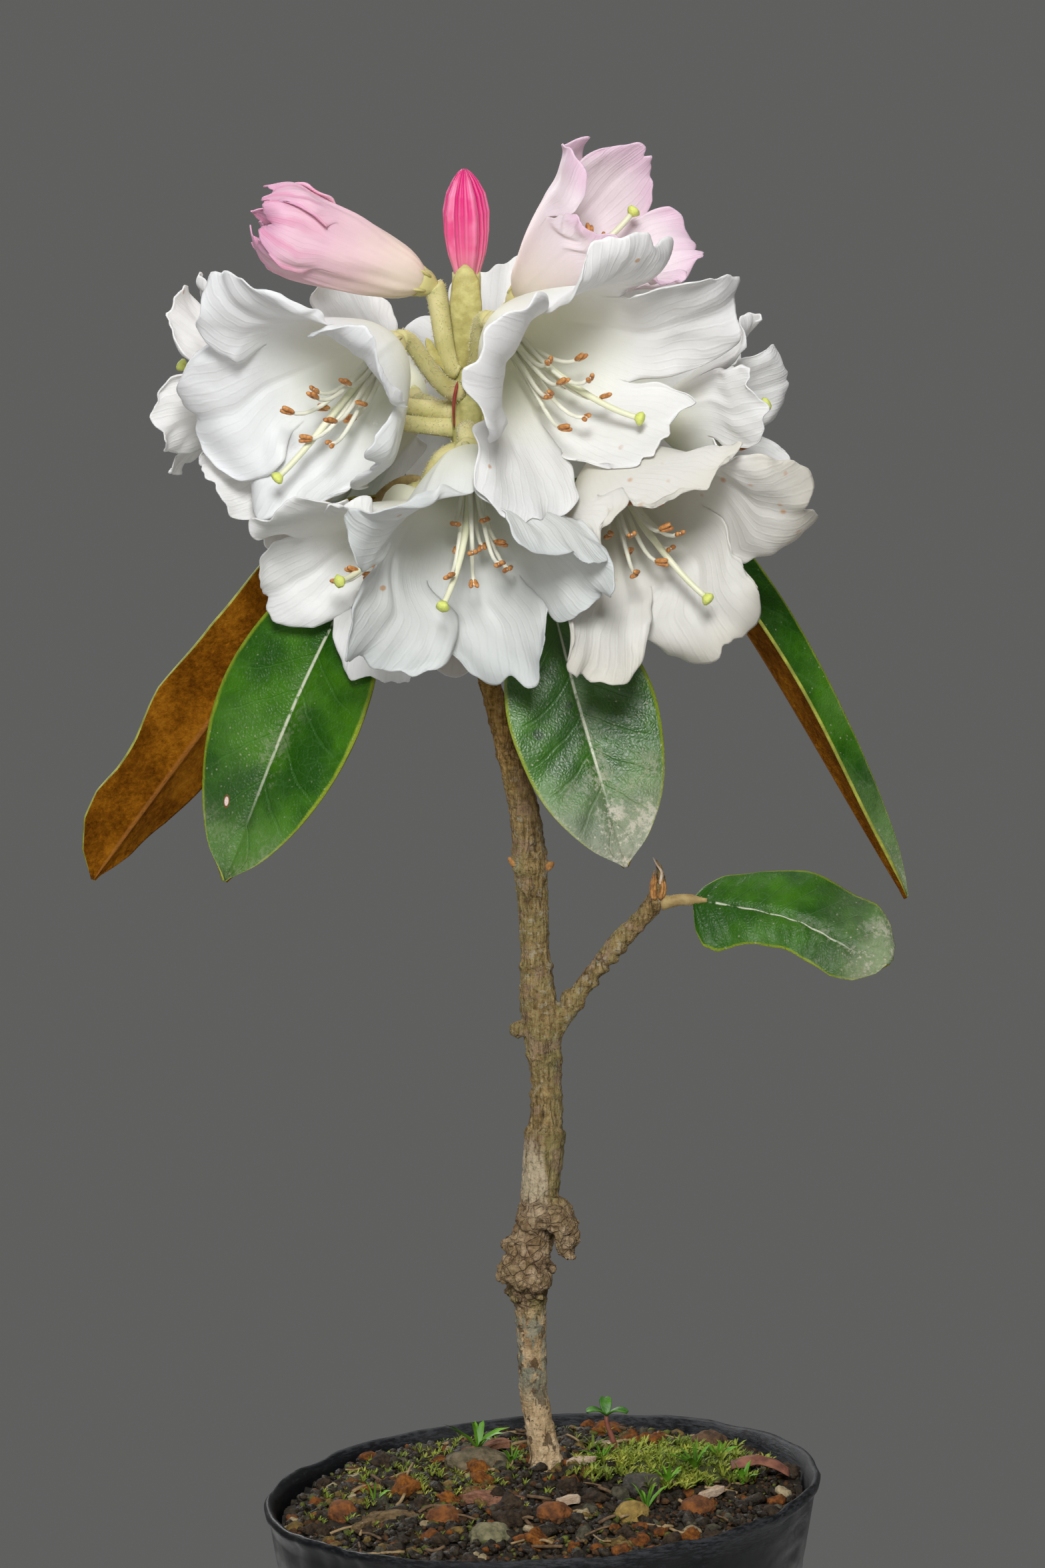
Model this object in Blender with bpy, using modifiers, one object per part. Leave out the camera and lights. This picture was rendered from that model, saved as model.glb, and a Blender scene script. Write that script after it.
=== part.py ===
# Potted rhododendron in bloom: one named object for each sub-part, in metres, +Z up.
# The origin is the centre of the pot's flat underside, -Y is the front and +X is the right.

import math
import random

import bmesh
import bpy
from mathutils import Vector, noise

# Driving dimensions, in millimetres and degrees
MM = 0.001
GAP = 0.3

POT_TOP_RADIUS = 60.0
POT_FOOT_RADIUS = 42.5
POT_HEIGHT = 105.2
POT_WALL = 1.5
POT_LIP = 2.2
POT_STEPS = 36
POT_CORNER = 2.0
RIM_LEAN_RIGHT = 3.7
RIM_LEAN_BACK = 0.8
DRAIN_RADIUS = 4.5
DRAIN_RING_RADIUS = 31.0
DRAIN_COUNT = 6

MOUND_TOP = 105.9
MOUND_FALL = 5.5
MIX_ROUGHNESS = 0.7
MIX_GRAIN = 9.0
MIX_SHOULDER = 98.0
MIX_RINGS = 7
TRUNK_SEAT = 105.0
SEAT_RADIUS = 7.5

# Stones, bark chips and moss on the mix: place in plan, half length, half width, half height and turn
SURFACE_PIECES = {
    "stone_mossy_back": ((-14.0, 16.0), (8.5, 5.5, 3.4), 20),
    "stone_rust_left": ((-43.0, -6.0), (4.2, 3.6, 2.8), 50),
    "stone_rust_front_left": ((-21.0, -19.0), (4.6, 3.6, 2.9), 10),
    "stone_tan_front_left": ((-11.0, -31.0), (5.2, 4.0, 3.0), -15),
    "stone_rust_front": ((2.5, -22.0), (4.4, 3.8, 2.8), 35),
    "stone_yellow_front": ((19.0, -24.0), (3.8, 3.6, 3.0), 0),
    "stone_grey_right": ((21.0, -7.0), (5.0, 3.6, 2.8), 25),
    "stone_rust_right": ((33.0, -19.0), (4.4, 3.4, 2.6), -30),
    "stone_brown_back_right": ((37.0, 29.0), (5.0, 4.2, 3.4), 15),
    "bark_chip_front": ((-10.5, -11.0), (7.0, 2.6, 1.2), -28),
    "bark_chip_left": ((-31.0, -13.0), (7.5, 2.2, 1.1), 18),
    "moss_cushion": ((32.0, 6.0), (15.0, 10.0, 2.8), -12),
}

# Trunk course from the flat cut at ground level to its tip: x, y, z and radius
TRUNK_COURSE = (
    (1.0, 12.0, TRUNK_SEAT + GAP, 4.7),
    (0.8, 12.0, 109.0, 3.5),
    (-1.8, 12.0, 122.6, 3.1),
    (-2.3, 11.5, 141.0, 3.5),
    (-3.6, 11.0, 150.5, 5.2),
    (-1.4, 10.5, 160.0, 4.3),
    (0.4, 10.5, 175.0, 4.2),
    (1.0, 10.0, 190.0, 3.3),
    (0.0, 10.0, 202.0, 4.2),
    (-1.0, 10.0, 211.0, 4.0),
    (-1.6, 10.0, 221.0, 3.1),
    (-2.4, 10.0, 237.5, 3.7),
    (-4.1, 9.5, 251.3, 3.3),
    (-8.6, 8.5, 268.0, 2.5),
    (-13.0, 7.0, 285.0, 2.4),
    (-15.3, 5.5, 304.0, 2.7),
    (-15.6, 5.0, 316.0, 3.0),
    (-15.6, 5.0, 322.0, 3.0),
)
# Burl and bud scars on the trunk: centre and radius
TRUNK_KNOBS = (
    ((-5.4, 8.8, 150.5), 4.3),
    ((-1.0, 7.6, 147.8), 3.4),
    ((-5.2, 8.5, 202.7), 2.2),
    ((-5.6, 9.0, 239.0), 1.3),
    ((0.9, 9.0, 238.3), 1.3),
)
# Old shoot that curls down beside the burl
TRUNK_HOOK = (
    (0.5, 9.0, 164.6, 2.8),
    (3.4, 8.2, 163.6, 3.0),
    (5.0, 7.6, 160.6, 2.8),
    (4.9, 7.3, 157.2, 2.2),
    (3.9, 7.3, 155.4, 1.4),
)
COLLAR_FOOT = Vector((0.0, 9.5, 198.5))
COLLAR_TIP = Vector((6.6, 8.9, 208.7))
COLLAR_RADIUS = 2.3
# Side branch beyond its collar, which ends in a dry bud
BRANCH_COURSE = (
    (13.1, 8.5, 217.9, 1.9),
    (17.0, 8.3, 222.5, 2.3),
    (20.2, 8.0, 225.6, 1.8),
    (23.4, 8.0, 229.4, 2.2),
    (25.2, 8.0, 233.9, 1.5),
    (25.3, 8.0, 236.8, 0.9),
    (24.3, 8.0, 239.8, 0.3),
)

STALK_AXIS = Vector((-15.6, 5.0, 0.0))
STALK_FOOT = 322.0 + GAP
STALK_TOP = 350.0
STALK_RADIUS = 3.7
# The pedicels leave the stalk in the order of their blooms' heights
LOWEST_PEDICEL = 325.3
HIGHEST_PEDICEL = 346.0
LOWEST_BLOOM_BASE = 314.0
HIGHEST_BLOOM_BASE = 366.0

# Leaves: where the stalk meets the wood, knee, middle, tip, way the upper face looks, half width, fold
LEAVES = {
    "leaf_far_left": ((-18.9, 6.4, 317.5), (-35.0, 24.0, 316.0), (-72.5, 34.0, 267.0),
                      (-98.5, 34.0, 232.0), (-0.52, 0.75, 0.40), 15.5, 20),
    "leaf_front_left": ((-18.6, 5.2, 312.5), (-34.0, 8.0, 307.0), (-50.5, 6.0, 278.0),
                        (-67.5, 0.0, 236.0), (-0.30, -0.90, 0.30), 17.0, 8),
    "leaf_front_right": ((-13.6, 2.0, 314.0), (-3.0, -4.0, 311.0), (7.5, -10.0, 275.0),
                         (17.5, -18.0, 241.5), (0.10, -0.92, 0.38), 16.0, 8),
    "leaf_right": ((-12.2, 5.6, 317.0), (3.0, 6.5, 319.5), (33.5, 8.5, 303.0),
                   (78.5, 12.0, 231.0), (0.72, -0.30, 0.62), 13.0, 30),
    "leaf_back_left": ((-17.2, 8.4, 317.5), (-28.0, 25.0, 318.0), (-44.0, 56.0, 302.0),
                       (-56.0, 81.0, 276.0), (-0.40, 0.62, 0.68), 14.0, 14),
    "leaf_back_right": ((-13.4, 8.0, 313.5), (2.0, 25.0, 316.0), (21.0, 55.0, 308.0),
                        (36.0, 79.0, 290.0), (0.30, 0.50, 0.81), 14.0, 14),
    "leaf_side": ((26.7, 8.0, 230.4), (32.6, 7.6, 230.9), (54.0, 3.0, 229.5),
                  (74.0, -3.0, 219.5), (-0.05, -0.78, 0.62), 10.5, -10),
}
LEAF_THICKNESS = 1.2
LEAF_ROWS = 6
PETIOLE_RADIUS = 1.1

# Blooms: centre of the mouth, way it faces, radius across the lobes and roll of the lobes
BLOOMS = {
    "bloom_front": ((8.0, -40.0, 343.0), (0.62, -0.67, -0.40), 30.5, 8),
    "bloom_front_low": ((-12.5, -43.5, 307.5), (0.10, -0.64, -0.76), 29.0, -30),
    "bloom_front_left": ((-47.0, -31.0, 337.5), (-0.58, -0.67, -0.46), 28.5, 14),
    "bloom_right_low": ((23.0, -37.0, 311.5), (0.37, -0.77, -0.51), 28.5, 20),
    "bloom_right": ((42.0, -5.0, 335.0), (0.93, -0.25, 0.05), 20.0, 0),
    "bloom_left_low": ((-38.0, -13.0, 303.0), (-0.50, -0.60, -0.62), 25.0, 30),
    "bloom_left_hanging": ((-58.0, 11.0, 321.0), (-0.84, 0.18, -0.50), 21.0, -10),
    "bloom_far_left": ((-72.0, 15.0, 342.0), (-0.97, 0.10, 0.10), 20.5, 24),
    "bloom_back_left": ((-42.0, 41.0, 336.0), (-0.60, 0.80, -0.03), 25.0, 10),
    "bloom_back": ((-8.0, 55.0, 337.5), (0.15, 0.98, 0.02), 26.0, 0),
    "bloom_back_right": ((23.0, 39.0, 337.0), (0.70, 0.70, 0.02), 24.0, -16),
    "bloom_back_low": ((-15.0, 43.0, 300.0), (0.01, 0.70, -0.71), 24.0, 36),
}
HALF_OPEN_BLOOM = ((12.0, -7.6, 373.0), (0.68, -0.30, 0.58), 17.0, 20)
OPENING_BUD = ((-25.2, 0.3, 362.6), (-0.90, -0.17, 0.36), 36.0, 8.8)
CLOSED_BUD = ((-15.6, 4.2, 350.6), (-16.4, -3.5, 387.0), 5.1)
MOUTH_DEPTH = 28.0

# Corolla seen from its side: arc length from the calyx and the angle that the wall makes with the axis
OPEN_WALL = ((0, 64), (4, 52), (12, 32), (27, 26), (36, 42), (48, 58))
HALF_OPEN_WALL = ((0, 64), (4, 48), (12, 24), (27, 17), (36, 16), (48, 22))
OPEN_RADIUS = 29.6
HALF_OPEN_RADIUS = 20.5
CALYX_RADIUS = 2.0
CALYX_DEPTH = 0.8
RECEPTACLE_RADIUS = 2.9
RECEPTACLE_LENGTH = 2.5
TUBE_ARC = 27.0
LOBE_ARC = 21.0
FREE_ARC = 6.0
TUBE_ROW_SPACING = 1.3
LOBE_FLARE = (-10, 12)
LOBES = 5
LOBE_COLUMNS = 4
TUBE_ROWS = 3
LOBE_ROWS = 3
RUFFLE = 1.8
RUFFLE_TURNS = 4.2
HOLD_BACK_ROUNDS = 25
PETAL_THICKNESS = 0.8
PETAL_MARGIN = PETAL_THICKNESS / 2 + GAP / 2 + 0.1
PEDICEL_RADIUS = 1.3
PEDICEL_SAMPLES = 5
PEDICEL_PULL = 0.4
# Style that curves up at its tip: rise off the axis, depth and radius
STYLE_COURSE = ((0.0, 0.8, 0.8), (0.6, 22.0, 0.8), (4.5, 34.0, 1.05))
STAMENS = 5
STAMEN_RADIUS = 0.6
ANTHER_RADIUS = 0.85
STAMEN_RING_RADIUS = 1.6
STAMEN_DEPTH = 22.0
STAMEN_STEP = 1.5
STAMEN_SPREAD = 5.5

COLOURS = {
    "pot_plastic": ((0.012, 0.012, 0.013), 0.5),
    "growing_mix": ((0.045, 0.028, 0.015), 0.95),
    "stone": ((0.25, 0.13, 0.06), 0.9),
    "bark_chip": ((0.16, 0.07, 0.035), 0.85),
    "moss": ((0.10, 0.16, 0.02), 0.9),
    "bark": ((0.17, 0.11, 0.06), 0.85),
    "leaf": ((0.02, 0.10, 0.012), 0.3),
    "stalk": ((0.42, 0.47, 0.16), 0.6),
    "petal": ((0.86, 0.86, 0.88), 0.6),
    "pink_petal": ((0.85, 0.55, 0.66), 0.6),
    "bud": ((0.80, 0.04, 0.22), 0.5),
}


def clear_scene():
    for thing in list(bpy.data.objects):
        bpy.data.objects.remove(thing)


def new_collection(name):
    collection = bpy.data.collections.new(name)
    bpy.context.scene.collection.children.link(collection)
    return collection


def finish(piece, slot):
    """Give a piece its material and shade its round parts smooth."""
    paint = bpy.data.materials.get(slot)
    if paint is None:
        paint = bpy.data.materials.new(slot)
        paint.use_nodes = True
        shader = paint.node_tree.nodes["Principled BSDF"]
        colour, roughness = COLOURS[slot]
        shader.inputs["Base Color"].default_value = (*colour, 1.0)
        shader.inputs["Roughness"].default_value = roughness
        shader.inputs["Metallic"].default_value = 0.0
    piece.data.materials.clear()
    piece.data.materials.append(paint)
    piece.data.shade_smooth()
    piece.data.set_sharp_from_angle(angle=math.radians(50))
    return piece


def evaluated_mesh(piece):
    graph = bpy.context.evaluated_depsgraph_get()
    return bpy.data.meshes.new_from_object(piece.evaluated_get(graph))


def settle(piece):
    """Replace a piece's mesh by what its modifiers make of it."""
    mesh = evaluated_mesh(piece)
    piece.modifiers.clear()
    piece.data = mesh
    return piece


def mesh_piece(name, points, faces, collection):
    mesh = bpy.data.meshes.new(name)
    mesh.from_pydata([Vector(point) * MM for point in points], [], faces)
    piece = bpy.data.objects.new(name, mesh)
    collection.objects.link(piece)
    return piece


def smooth_course(stations, steps):
    """Points on a smooth course through the stations, which hold x, y, z and a radius."""
    rows = [Vector(station) for station in stations]
    rows = [2 * rows[0] - rows[1], *rows, 2 * rows[-1] - rows[-2]]
    course = []
    for before, start, end, after in zip(rows, rows[1:], rows[2:], rows[3:]):
        for step in range(steps):
            t = step / steps
            bend = (2 * start + (end - before) * t + (2 * before - 5 * start + 4 * end - after) * t ** 2
                    + (3 * start - before - 3 * end + after) * t ** 3)
            course.append(bend / 2)
    course.append(rows[-2])
    return course


def limb(name, course, collection, roundness):
    """Tapering round limb along a course, as a closed mesh."""
    curve = bpy.data.curves.new(name, "CURVE")
    curve.dimensions = "3D"
    curve.bevel_depth = MM
    curve.bevel_resolution = roundness
    curve.use_fill_caps = True
    spline = curve.splines.new("POLY")
    spline.points.add(len(course) - 1)
    for point, (x, y, z, radius) in zip(spline.points, course):
        point.co = (x * MM, y * MM, z * MM, 1.0)
        point.radius = radius
    guide = bpy.data.objects.new(name + "_course", curve)
    collection.objects.link(guide)
    mesh = evaluated_mesh(guide)
    shape = bmesh.new()
    shape.from_mesh(mesh)
    bmesh.ops.remove_doubles(shape, verts=shape.verts, dist=0.00001)
    shape.to_mesh(mesh)
    shape.free()
    piece = bpy.data.objects.new(name, mesh)
    piece.matrix_world = guide.matrix_world
    collection.objects.link(piece)
    bpy.data.objects.remove(guide)
    bpy.data.curves.remove(curve)
    return piece


def is_closed(mesh):
    shape = bmesh.new()
    shape.from_mesh(mesh)
    closed = len(shape.faces) > 0 and all(edge.is_manifold for edge in shape.edges)
    shape.free()
    return closed


def combine(piece, others, operation):
    """Join a piece with a collection, or cut it with one, by the first solver that leaves it closed."""
    change = piece.modifiers.new("combine", "BOOLEAN")
    change.operation = operation
    change.operand_type = "COLLECTION"
    change.collection = others
    for solver in ("EXACT", "MANIFOLD"):
        change.solver = solver
        mesh = evaluated_mesh(piece)
        if is_closed(mesh):
            break
    piece.modifiers.clear()
    piece.data = mesh
    return piece


def fuse(piece, others):
    """Join a piece with everything in a collection, which is then removed."""
    combine(piece, others, "UNION")
    for other in list(others.objects):
        bpy.data.objects.remove(other)
    bpy.data.collections.remove(others)
    return piece


def turned(name, profile, collection):
    """Solid turned round the z axis from a profile that runs down its outer side."""
    edges = [(i, i + 1) for i in range(len(profile) - 1)]
    mesh = bpy.data.meshes.new(name)
    mesh.from_pydata([(radius * MM, 0.0, z * MM) for radius, z in profile], edges, [])
    piece = bpy.data.objects.new(name, mesh)
    collection.objects.link(piece)
    screw = piece.modifiers.new("turn", "SCREW")
    screw.steps = POT_STEPS
    screw.render_steps = POT_STEPS
    screw.use_merge_vertices = True
    screw.merge_threshold = 0.00001
    return settle(piece)


def rim_lift(x, y):
    """How far the soft rim is pushed up or down above a point in plan."""
    return RIM_LEAN_RIGHT * x / POT_TOP_RADIUS + RIM_LEAN_BACK * y / POT_TOP_RADIUS


def lean_with_rim(piece):
    """Push a piece up or down with the pot's crooked rim, from nothing at the foot."""
    for vertex in piece.data.vertices:
        x, y, z = vertex.co / MM
        vertex.co.z = (z + rim_lift(x, y) * z / POT_HEIGHT) * MM


def pot_radius(z):
    return POT_FOOT_RADIUS + (POT_TOP_RADIUS - POT_LIP - POT_FOOT_RADIUS + POT_WALL) * z / POT_HEIGHT


def build_pot(parts, cutters):
    inner_foot = pot_radius(POT_WALL) - POT_WALL
    inner_top = pot_radius(POT_HEIGHT) - POT_WALL
    profile = (
        (0.0, POT_WALL),
        (inner_foot - POT_CORNER, POT_WALL),
        (inner_foot, POT_WALL + POT_CORNER),
        (inner_top - 0.2, POT_HEIGHT - POT_LIP),
        (inner_top + 0.6, POT_HEIGHT - 0.4),
        (inner_top + 1.4, POT_HEIGHT),
        (POT_TOP_RADIUS - 0.4, POT_HEIGHT - 0.5),
        (POT_TOP_RADIUS, POT_HEIGHT - 1.4),
        (POT_TOP_RADIUS - 0.5, POT_HEIGHT - POT_LIP),
        (pot_radius(POT_HEIGHT - POT_LIP - 1.0), POT_HEIGHT - POT_LIP - 1.0),
        (pot_radius(POT_CORNER), POT_CORNER),
        (POT_FOOT_RADIUS - 1.0, 0.0),
        (0.0, 0.0),
    )
    pot = turned("pot", profile, parts)
    lean_with_rim(pot)
    holes = new_collection("drain_holes")
    for i in range(DRAIN_COUNT):
        turn = math.tau * (i + 0.5) / DRAIN_COUNT
        bpy.ops.mesh.primitive_cylinder_add(
            vertices=10, radius=DRAIN_RADIUS * MM, depth=4 * POT_WALL * MM,
            location=(DRAIN_RING_RADIUS * math.cos(turn) * MM, DRAIN_RING_RADIUS * math.sin(turn) * MM, 0.0))
        move_to(holes, f"drain_hole_cutter_{i + 1}")
    combine(pot, holes, "DIFFERENCE")
    for hole in list(holes.objects):
        hide_cutter(hole, cutters)
    bpy.data.collections.remove(holes)
    return finish(pot, "pot_plastic")


def move_to(collection, name):
    """Name the object that was just added and put it in a collection."""
    piece = bpy.context.object
    piece.name = name
    for owner in list(piece.users_collection):
        owner.objects.unlink(piece)
    collection.objects.link(piece)
    return piece


def hide_cutter(piece, cutters):
    for owner in list(piece.users_collection):
        owner.objects.unlink(piece)
    cutters.objects.link(piece)
    piece.hide_render = True
    piece.display_type = "WIRE"


def mix_height(x, y):
    """Top of the growing mix, before the lean of the rim is added."""
    away = Vector((x - TRUNK_COURSE[0][0], y - TRUNK_COURSE[0][1])).length / POT_TOP_RADIUS
    bumps = noise.noise(Vector((x, y, 3.0)) / MIX_GRAIN) * MIX_ROUGHNESS
    return MOUND_TOP - MOUND_FALL * away ** 1.6 + bumps


def mix_top(x, y):
    z = mix_height(x, y)
    return z + rim_lift(x, y) * z / POT_HEIGHT


def build_mix(parts):
    foot = POT_WALL + GAP
    inner_foot = pot_radius(POT_WALL) - POT_WALL - GAP
    edge = pot_radius(MIX_SHOULDER) - POT_WALL - 2 * GAP
    rings = [(edge * i / MIX_RINGS, MIX_SHOULDER) for i in range(MIX_RINGS + 1)]
    profile = (*rings, (inner_foot, foot + POT_CORNER), (inner_foot - POT_CORNER, foot), (0.0, foot))
    mix = turned("growing_mix", profile, parts)
    for vertex in mix.data.vertices:
        x, y, z = vertex.co / MM
        if z > MIX_SHOULDER - GAP and math.hypot(x, y) < edge - GAP:
            vertex.co.z = mix_height(x, y) * MM
    lean_with_rim(mix)
    return mix


def lump(name, place, sizes, turn, seed, grow, collection):
    """Rough stone, chip or cushion half sunk in the mix; grow is added to each half size."""
    bpy.ops.mesh.primitive_ico_sphere_add(subdivisions=2 if name.startswith("moss") else 1, radius=1.0)
    piece = move_to(collection, name)
    dice = random.Random(seed)
    length, width, height = (size + grow for size in sizes)
    spin = math.radians(turn)
    x, y = place
    centre = Vector((x, y, mix_top(x, y) + 0.25 * sizes[2]))
    for vertex in piece.data.vertices:
        rough = 1.0 + dice.uniform(-0.10, 0.06)
        u = vertex.co.x * length * rough
        v = vertex.co.y * width * rough
        offset = Vector((u * math.cos(spin) - v * math.sin(spin), u * math.sin(spin) + v * math.cos(spin),
                         vertex.co.z * height * rough))
        vertex.co = (centre + offset) * MM
    return piece


def build_surface_pieces(parts, cutters, mix):
    """Stones, chips and moss, each in a seat that is cut in the mix 0.3 mm clear of it."""
    seats = new_collection("seats")
    for seed, (name, (place, sizes, turn)) in enumerate(SURFACE_PIECES.items()):
        kind = name.split("_")[0]
        slot = {"stone": "stone", "bark": "bark_chip", "moss": "moss"}[kind]
        finish(lump(name, place, sizes, turn, seed, 0.0, parts), slot)
        lump(name + "_seat_cutter", place, sizes, turn, seed, GAP, seats)
    bpy.ops.mesh.primitive_cylinder_add(
        vertices=16, radius=SEAT_RADIUS * MM, depth=8.0 * MM,
        location=(TRUNK_COURSE[0][0] * MM, TRUNK_COURSE[0][1] * MM, (TRUNK_SEAT + 4.0) * MM))
    move_to(seats, "trunk_seat_cutter")
    combine(mix, seats, "DIFFERENCE")
    for seat in list(seats.objects):
        hide_cutter(seat, cutters)
    bpy.data.collections.remove(seats)
    finish(mix, "growing_mix")


def build_trunk(parts):
    course = smooth_course(TRUNK_COURSE, 2)
    # The first stretch is upright, so that the cut at ground level is flat
    course[1].x, course[1].y = course[0].x, course[0].y
    trunk = limb("trunk", course, parts, 3)
    knobs = new_collection("trunk_knobs")
    for centre, radius in TRUNK_KNOBS:
        bpy.ops.mesh.primitive_ico_sphere_add(subdivisions=1, radius=radius * MM, location=Vector(centre) * MM)
        move_to(knobs, "knob")
    limb("hook", smooth_course(TRUNK_HOOK, 2), knobs, 1)
    limb("collar", [(*COLLAR_FOOT, COLLAR_RADIUS), (*COLLAR_TIP, COLLAR_RADIUS)], knobs, 2)
    return finish(fuse(trunk, knobs), "bark")


def build_side_branch(parts):
    along = (COLLAR_TIP - COLLAR_FOOT).normalized()
    foot = COLLAR_TIP + along * GAP
    straight = foot + along * 2.5
    stations = ((*foot, 2.1), (*straight, 2.0), *BRANCH_COURSE)
    branch = limb("side_branch", smooth_course(stations, 2), parts, 2)
    return finish(branch, "bark")


def build_stalk(parts):
    """Axis of the flower head, on the tip of the trunk."""
    height = STALK_TOP - STALK_FOOT
    rise = ((0.0, 3.0), (0.25, STALK_RADIUS), (0.6, STALK_RADIUS), (0.88, 3.2), (1.0, 1.9))
    course = [(STALK_AXIS.x, STALK_AXIS.y, STALK_FOOT + height * t, radius) for t, radius in rise]
    return finish(limb("flower_stalk", course, parts, 2), "stalk")


def leaf_width(along):
    """Share of the half width at a share of the blade's length."""
    return max(0.06, math.sin(math.pi * along ** 1.25) ** 0.72)


def build_leaf(name, parts):
    start, knee, middle, tip, facing, half_width, fold = LEAVES[name]
    extras = new_collection(name + "_petiole")
    stations = [(*Vector(point), PETIOLE_RADIUS) for point in (start, knee, middle, tip)]
    course = smooth_course(stations, LEAF_ROWS)
    midrib = [Vector(point[:3]) for point in course[LEAF_ROWS:]][::2]
    rows = len(midrib) - 1
    points = []
    for i, centre in enumerate(midrib):
        along = (midrib[min(i + 1, rows)] - midrib[max(i - 1, 0)]).normalized()
        across = along.cross(Vector(facing)).normalized()
        out = across.cross(along)
        width = half_width * leaf_width(i / rows)
        for share in (-1.0, -0.5, 0.0, 0.5, 1.0):
            rise = abs(share) * math.tan(math.radians(fold))
            points.append(centre + across * width * share * math.cos(math.radians(fold)) + out * width * rise)
    faces = [(5 * i + j, 5 * i + j + 1, 5 * i + j + 6, 5 * i + j + 5) for i in range(rows) for j in range(4)]
    blade = mesh_piece(name, points, faces, parts)
    wall = blade.modifiers.new("thickness", "SOLIDIFY")
    wall.thickness = LEAF_THICKNESS * MM
    wall.offset = 0.0
    settle(blade)
    limb("petiole", course[:LEAF_ROWS + 2:3] + [course[LEAF_ROWS + 2]], extras, 1)
    return finish(fuse(blade, extras), "leaf")


def corolla_section(arc, wall, flare):
    """Radius and depth of the corolla at an arc length from the calyx, for a lobe flared by some degrees."""
    radius, depth = CALYX_RADIUS, 0.0
    steps = max(1, round(arc * 2))
    for i in range(steps):
        place = arc * (i + 0.5) / steps
        for (low, low_angle), (high, high_angle) in zip(wall, wall[1:]):
            if low <= place <= high:
                angle = low_angle + (high_angle - low_angle) * (place - low) / (high - low)
        angle += flare * max(0.0, place - TUBE_ARC) / LOBE_ARC
        radius += math.sin(math.radians(angle)) * arc / steps
        depth += math.cos(math.radians(angle)) * arc / steps
    return radius, depth


def bloom_axes(facing, roll):
    """Right, up and forward directions of a bloom."""
    forward = Vector(facing).normalized()
    up = (Vector((0, 0, 1)) - forward * forward.z).normalized()
    right = up.cross(forward)
    turn = math.radians(roll)
    return right * math.cos(turn) + up * math.sin(turn), up * math.cos(turn) - right * math.sin(turn), forward


def flower_sites():
    """Centre and reach of every bloom and bud, which share the space of the flower head."""
    sites = {name: (Vector(mouth), reach) for name, (mouth, _, reach, _) in BLOOMS.items()}
    sites["bloom_half_open"] = (Vector(HALF_OPEN_BLOOM[0]), HALF_OPEN_BLOOM[2])
    foot, facing, length, radius = OPENING_BUD
    sites["bud_opening"] = (Vector(foot) + Vector(facing).normalized() * length * 0.6, radius)
    foot, tip, radius = CLOSED_BUD
    sites["bud_closed"] = ((Vector(foot) + 2 * Vector(tip)) / 3, radius)
    return sites


def cell_walls(name, parts):
    """Planes between a bloom and each other bloom, bud and leaf: a point and the way out."""
    sites = flower_sites()
    centre, reach = sites.pop(name)
    walls = []
    for other, other_reach in sites.values():
        across = other - centre
        share = 0.5 + (reach ** 2 - other_reach ** 2) / (2 * across.length_squared)
        walls.append((centre + across * share, across.normalized()))
    for leaf in LEAVES:
        nearest = min((vertex.co / MM for vertex in parts.objects[leaf].data.vertices),
                      key=lambda point: (point - centre).length)
        away = (nearest - centre).normalized()
        walls.append((nearest - away * LEAF_THICKNESS, away))
    return walls


def hold_back(point, walls):
    """Nearest place to a point where the petal stays clear of every neighbour."""
    for _ in range(HOLD_BACK_ROUNDS):
        for place, outward in walls:
            beyond = (point - place).dot(outward) + PETAL_MARGIN
            if beyond > 0:
                point = point - outward * beyond
    return point


def build_corolla(name, base, axes, scale, wall, seed, parts):
    """Funnel of five lobes, as an open sheet given its thickness."""
    right, up, forward = axes
    walls = cell_walls(name, parts)
    dice = random.Random(seed)
    flares = [dice.uniform(*LOBE_FLARE) for _ in range(LOBES)]
    phases = [dice.uniform(0, math.tau) for _ in range(LOBES)]
    columns = LOBES * LOBE_COLUMNS
    points = []

    def add(turn, arc, flare, wave):
        radius, depth = corolla_section(arc, wall, flare)
        radius, depth = radius - wave * 0.6, depth + wave
        around = right * math.cos(turn) + up * math.sin(turn)
        places = base + (around * radius + forward * depth) * scale
        points.append(hold_back(places, walls) if arc > FREE_ARC else places)
        return len(points) - 1

    sector = math.tau / LOBES
    rings = []
    for row in range(TUBE_ROWS + 1):
        arc = TUBE_ARC * (row / TUBE_ROWS) ** TUBE_ROW_SPACING
        rings.append([add(sector * (column / LOBE_COLUMNS - 0.5) + math.pi / 2, arc, 0.0, 0.0)
                      for column in range(columns)])
    faces = []
    for low, high in zip(rings, rings[1:]):
        for i in range(columns):
            j = (i + 1) % columns
            faces.append((low[i], low[j], high[j], high[i]))
    for lobe in range(LOBES):
        low = [rings[-1][(lobe * LOBE_COLUMNS + i) % columns] for i in range(LOBE_COLUMNS + 1)]
        for row in range(1, LOBE_ROWS + 1):
            high = []
            for column in range(LOBE_COLUMNS + 1):
                s = 2 * column / LOBE_COLUMNS - 1
                w = row / LOBE_ROWS
                sideways = s * math.sqrt(1 - w * w / 2)
                along = w * math.sqrt(1 - s * s / 2)
                edge = max(abs(s), w)
                wave = RUFFLE * edge ** 3 * math.sin(RUFFLE_TURNS * s * edge + phases[lobe])
                turn = sector * (lobe + sideways * 0.5) + math.pi / 2
                high.append(add(turn, TUBE_ARC + LOBE_ARC * along, flares[lobe], wave))
            for i in range(LOBE_COLUMNS):
                faces.append((low[i], low[i + 1], high[i + 1], high[i]))
            low = high
    petals = mesh_piece(name, points, faces, parts)
    thickness = petals.modifiers.new("thickness", "SOLIDIFY")
    thickness.thickness = PETAL_THICKNESS * MM
    thickness.offset = 0.0
    return settle(petals)


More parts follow.
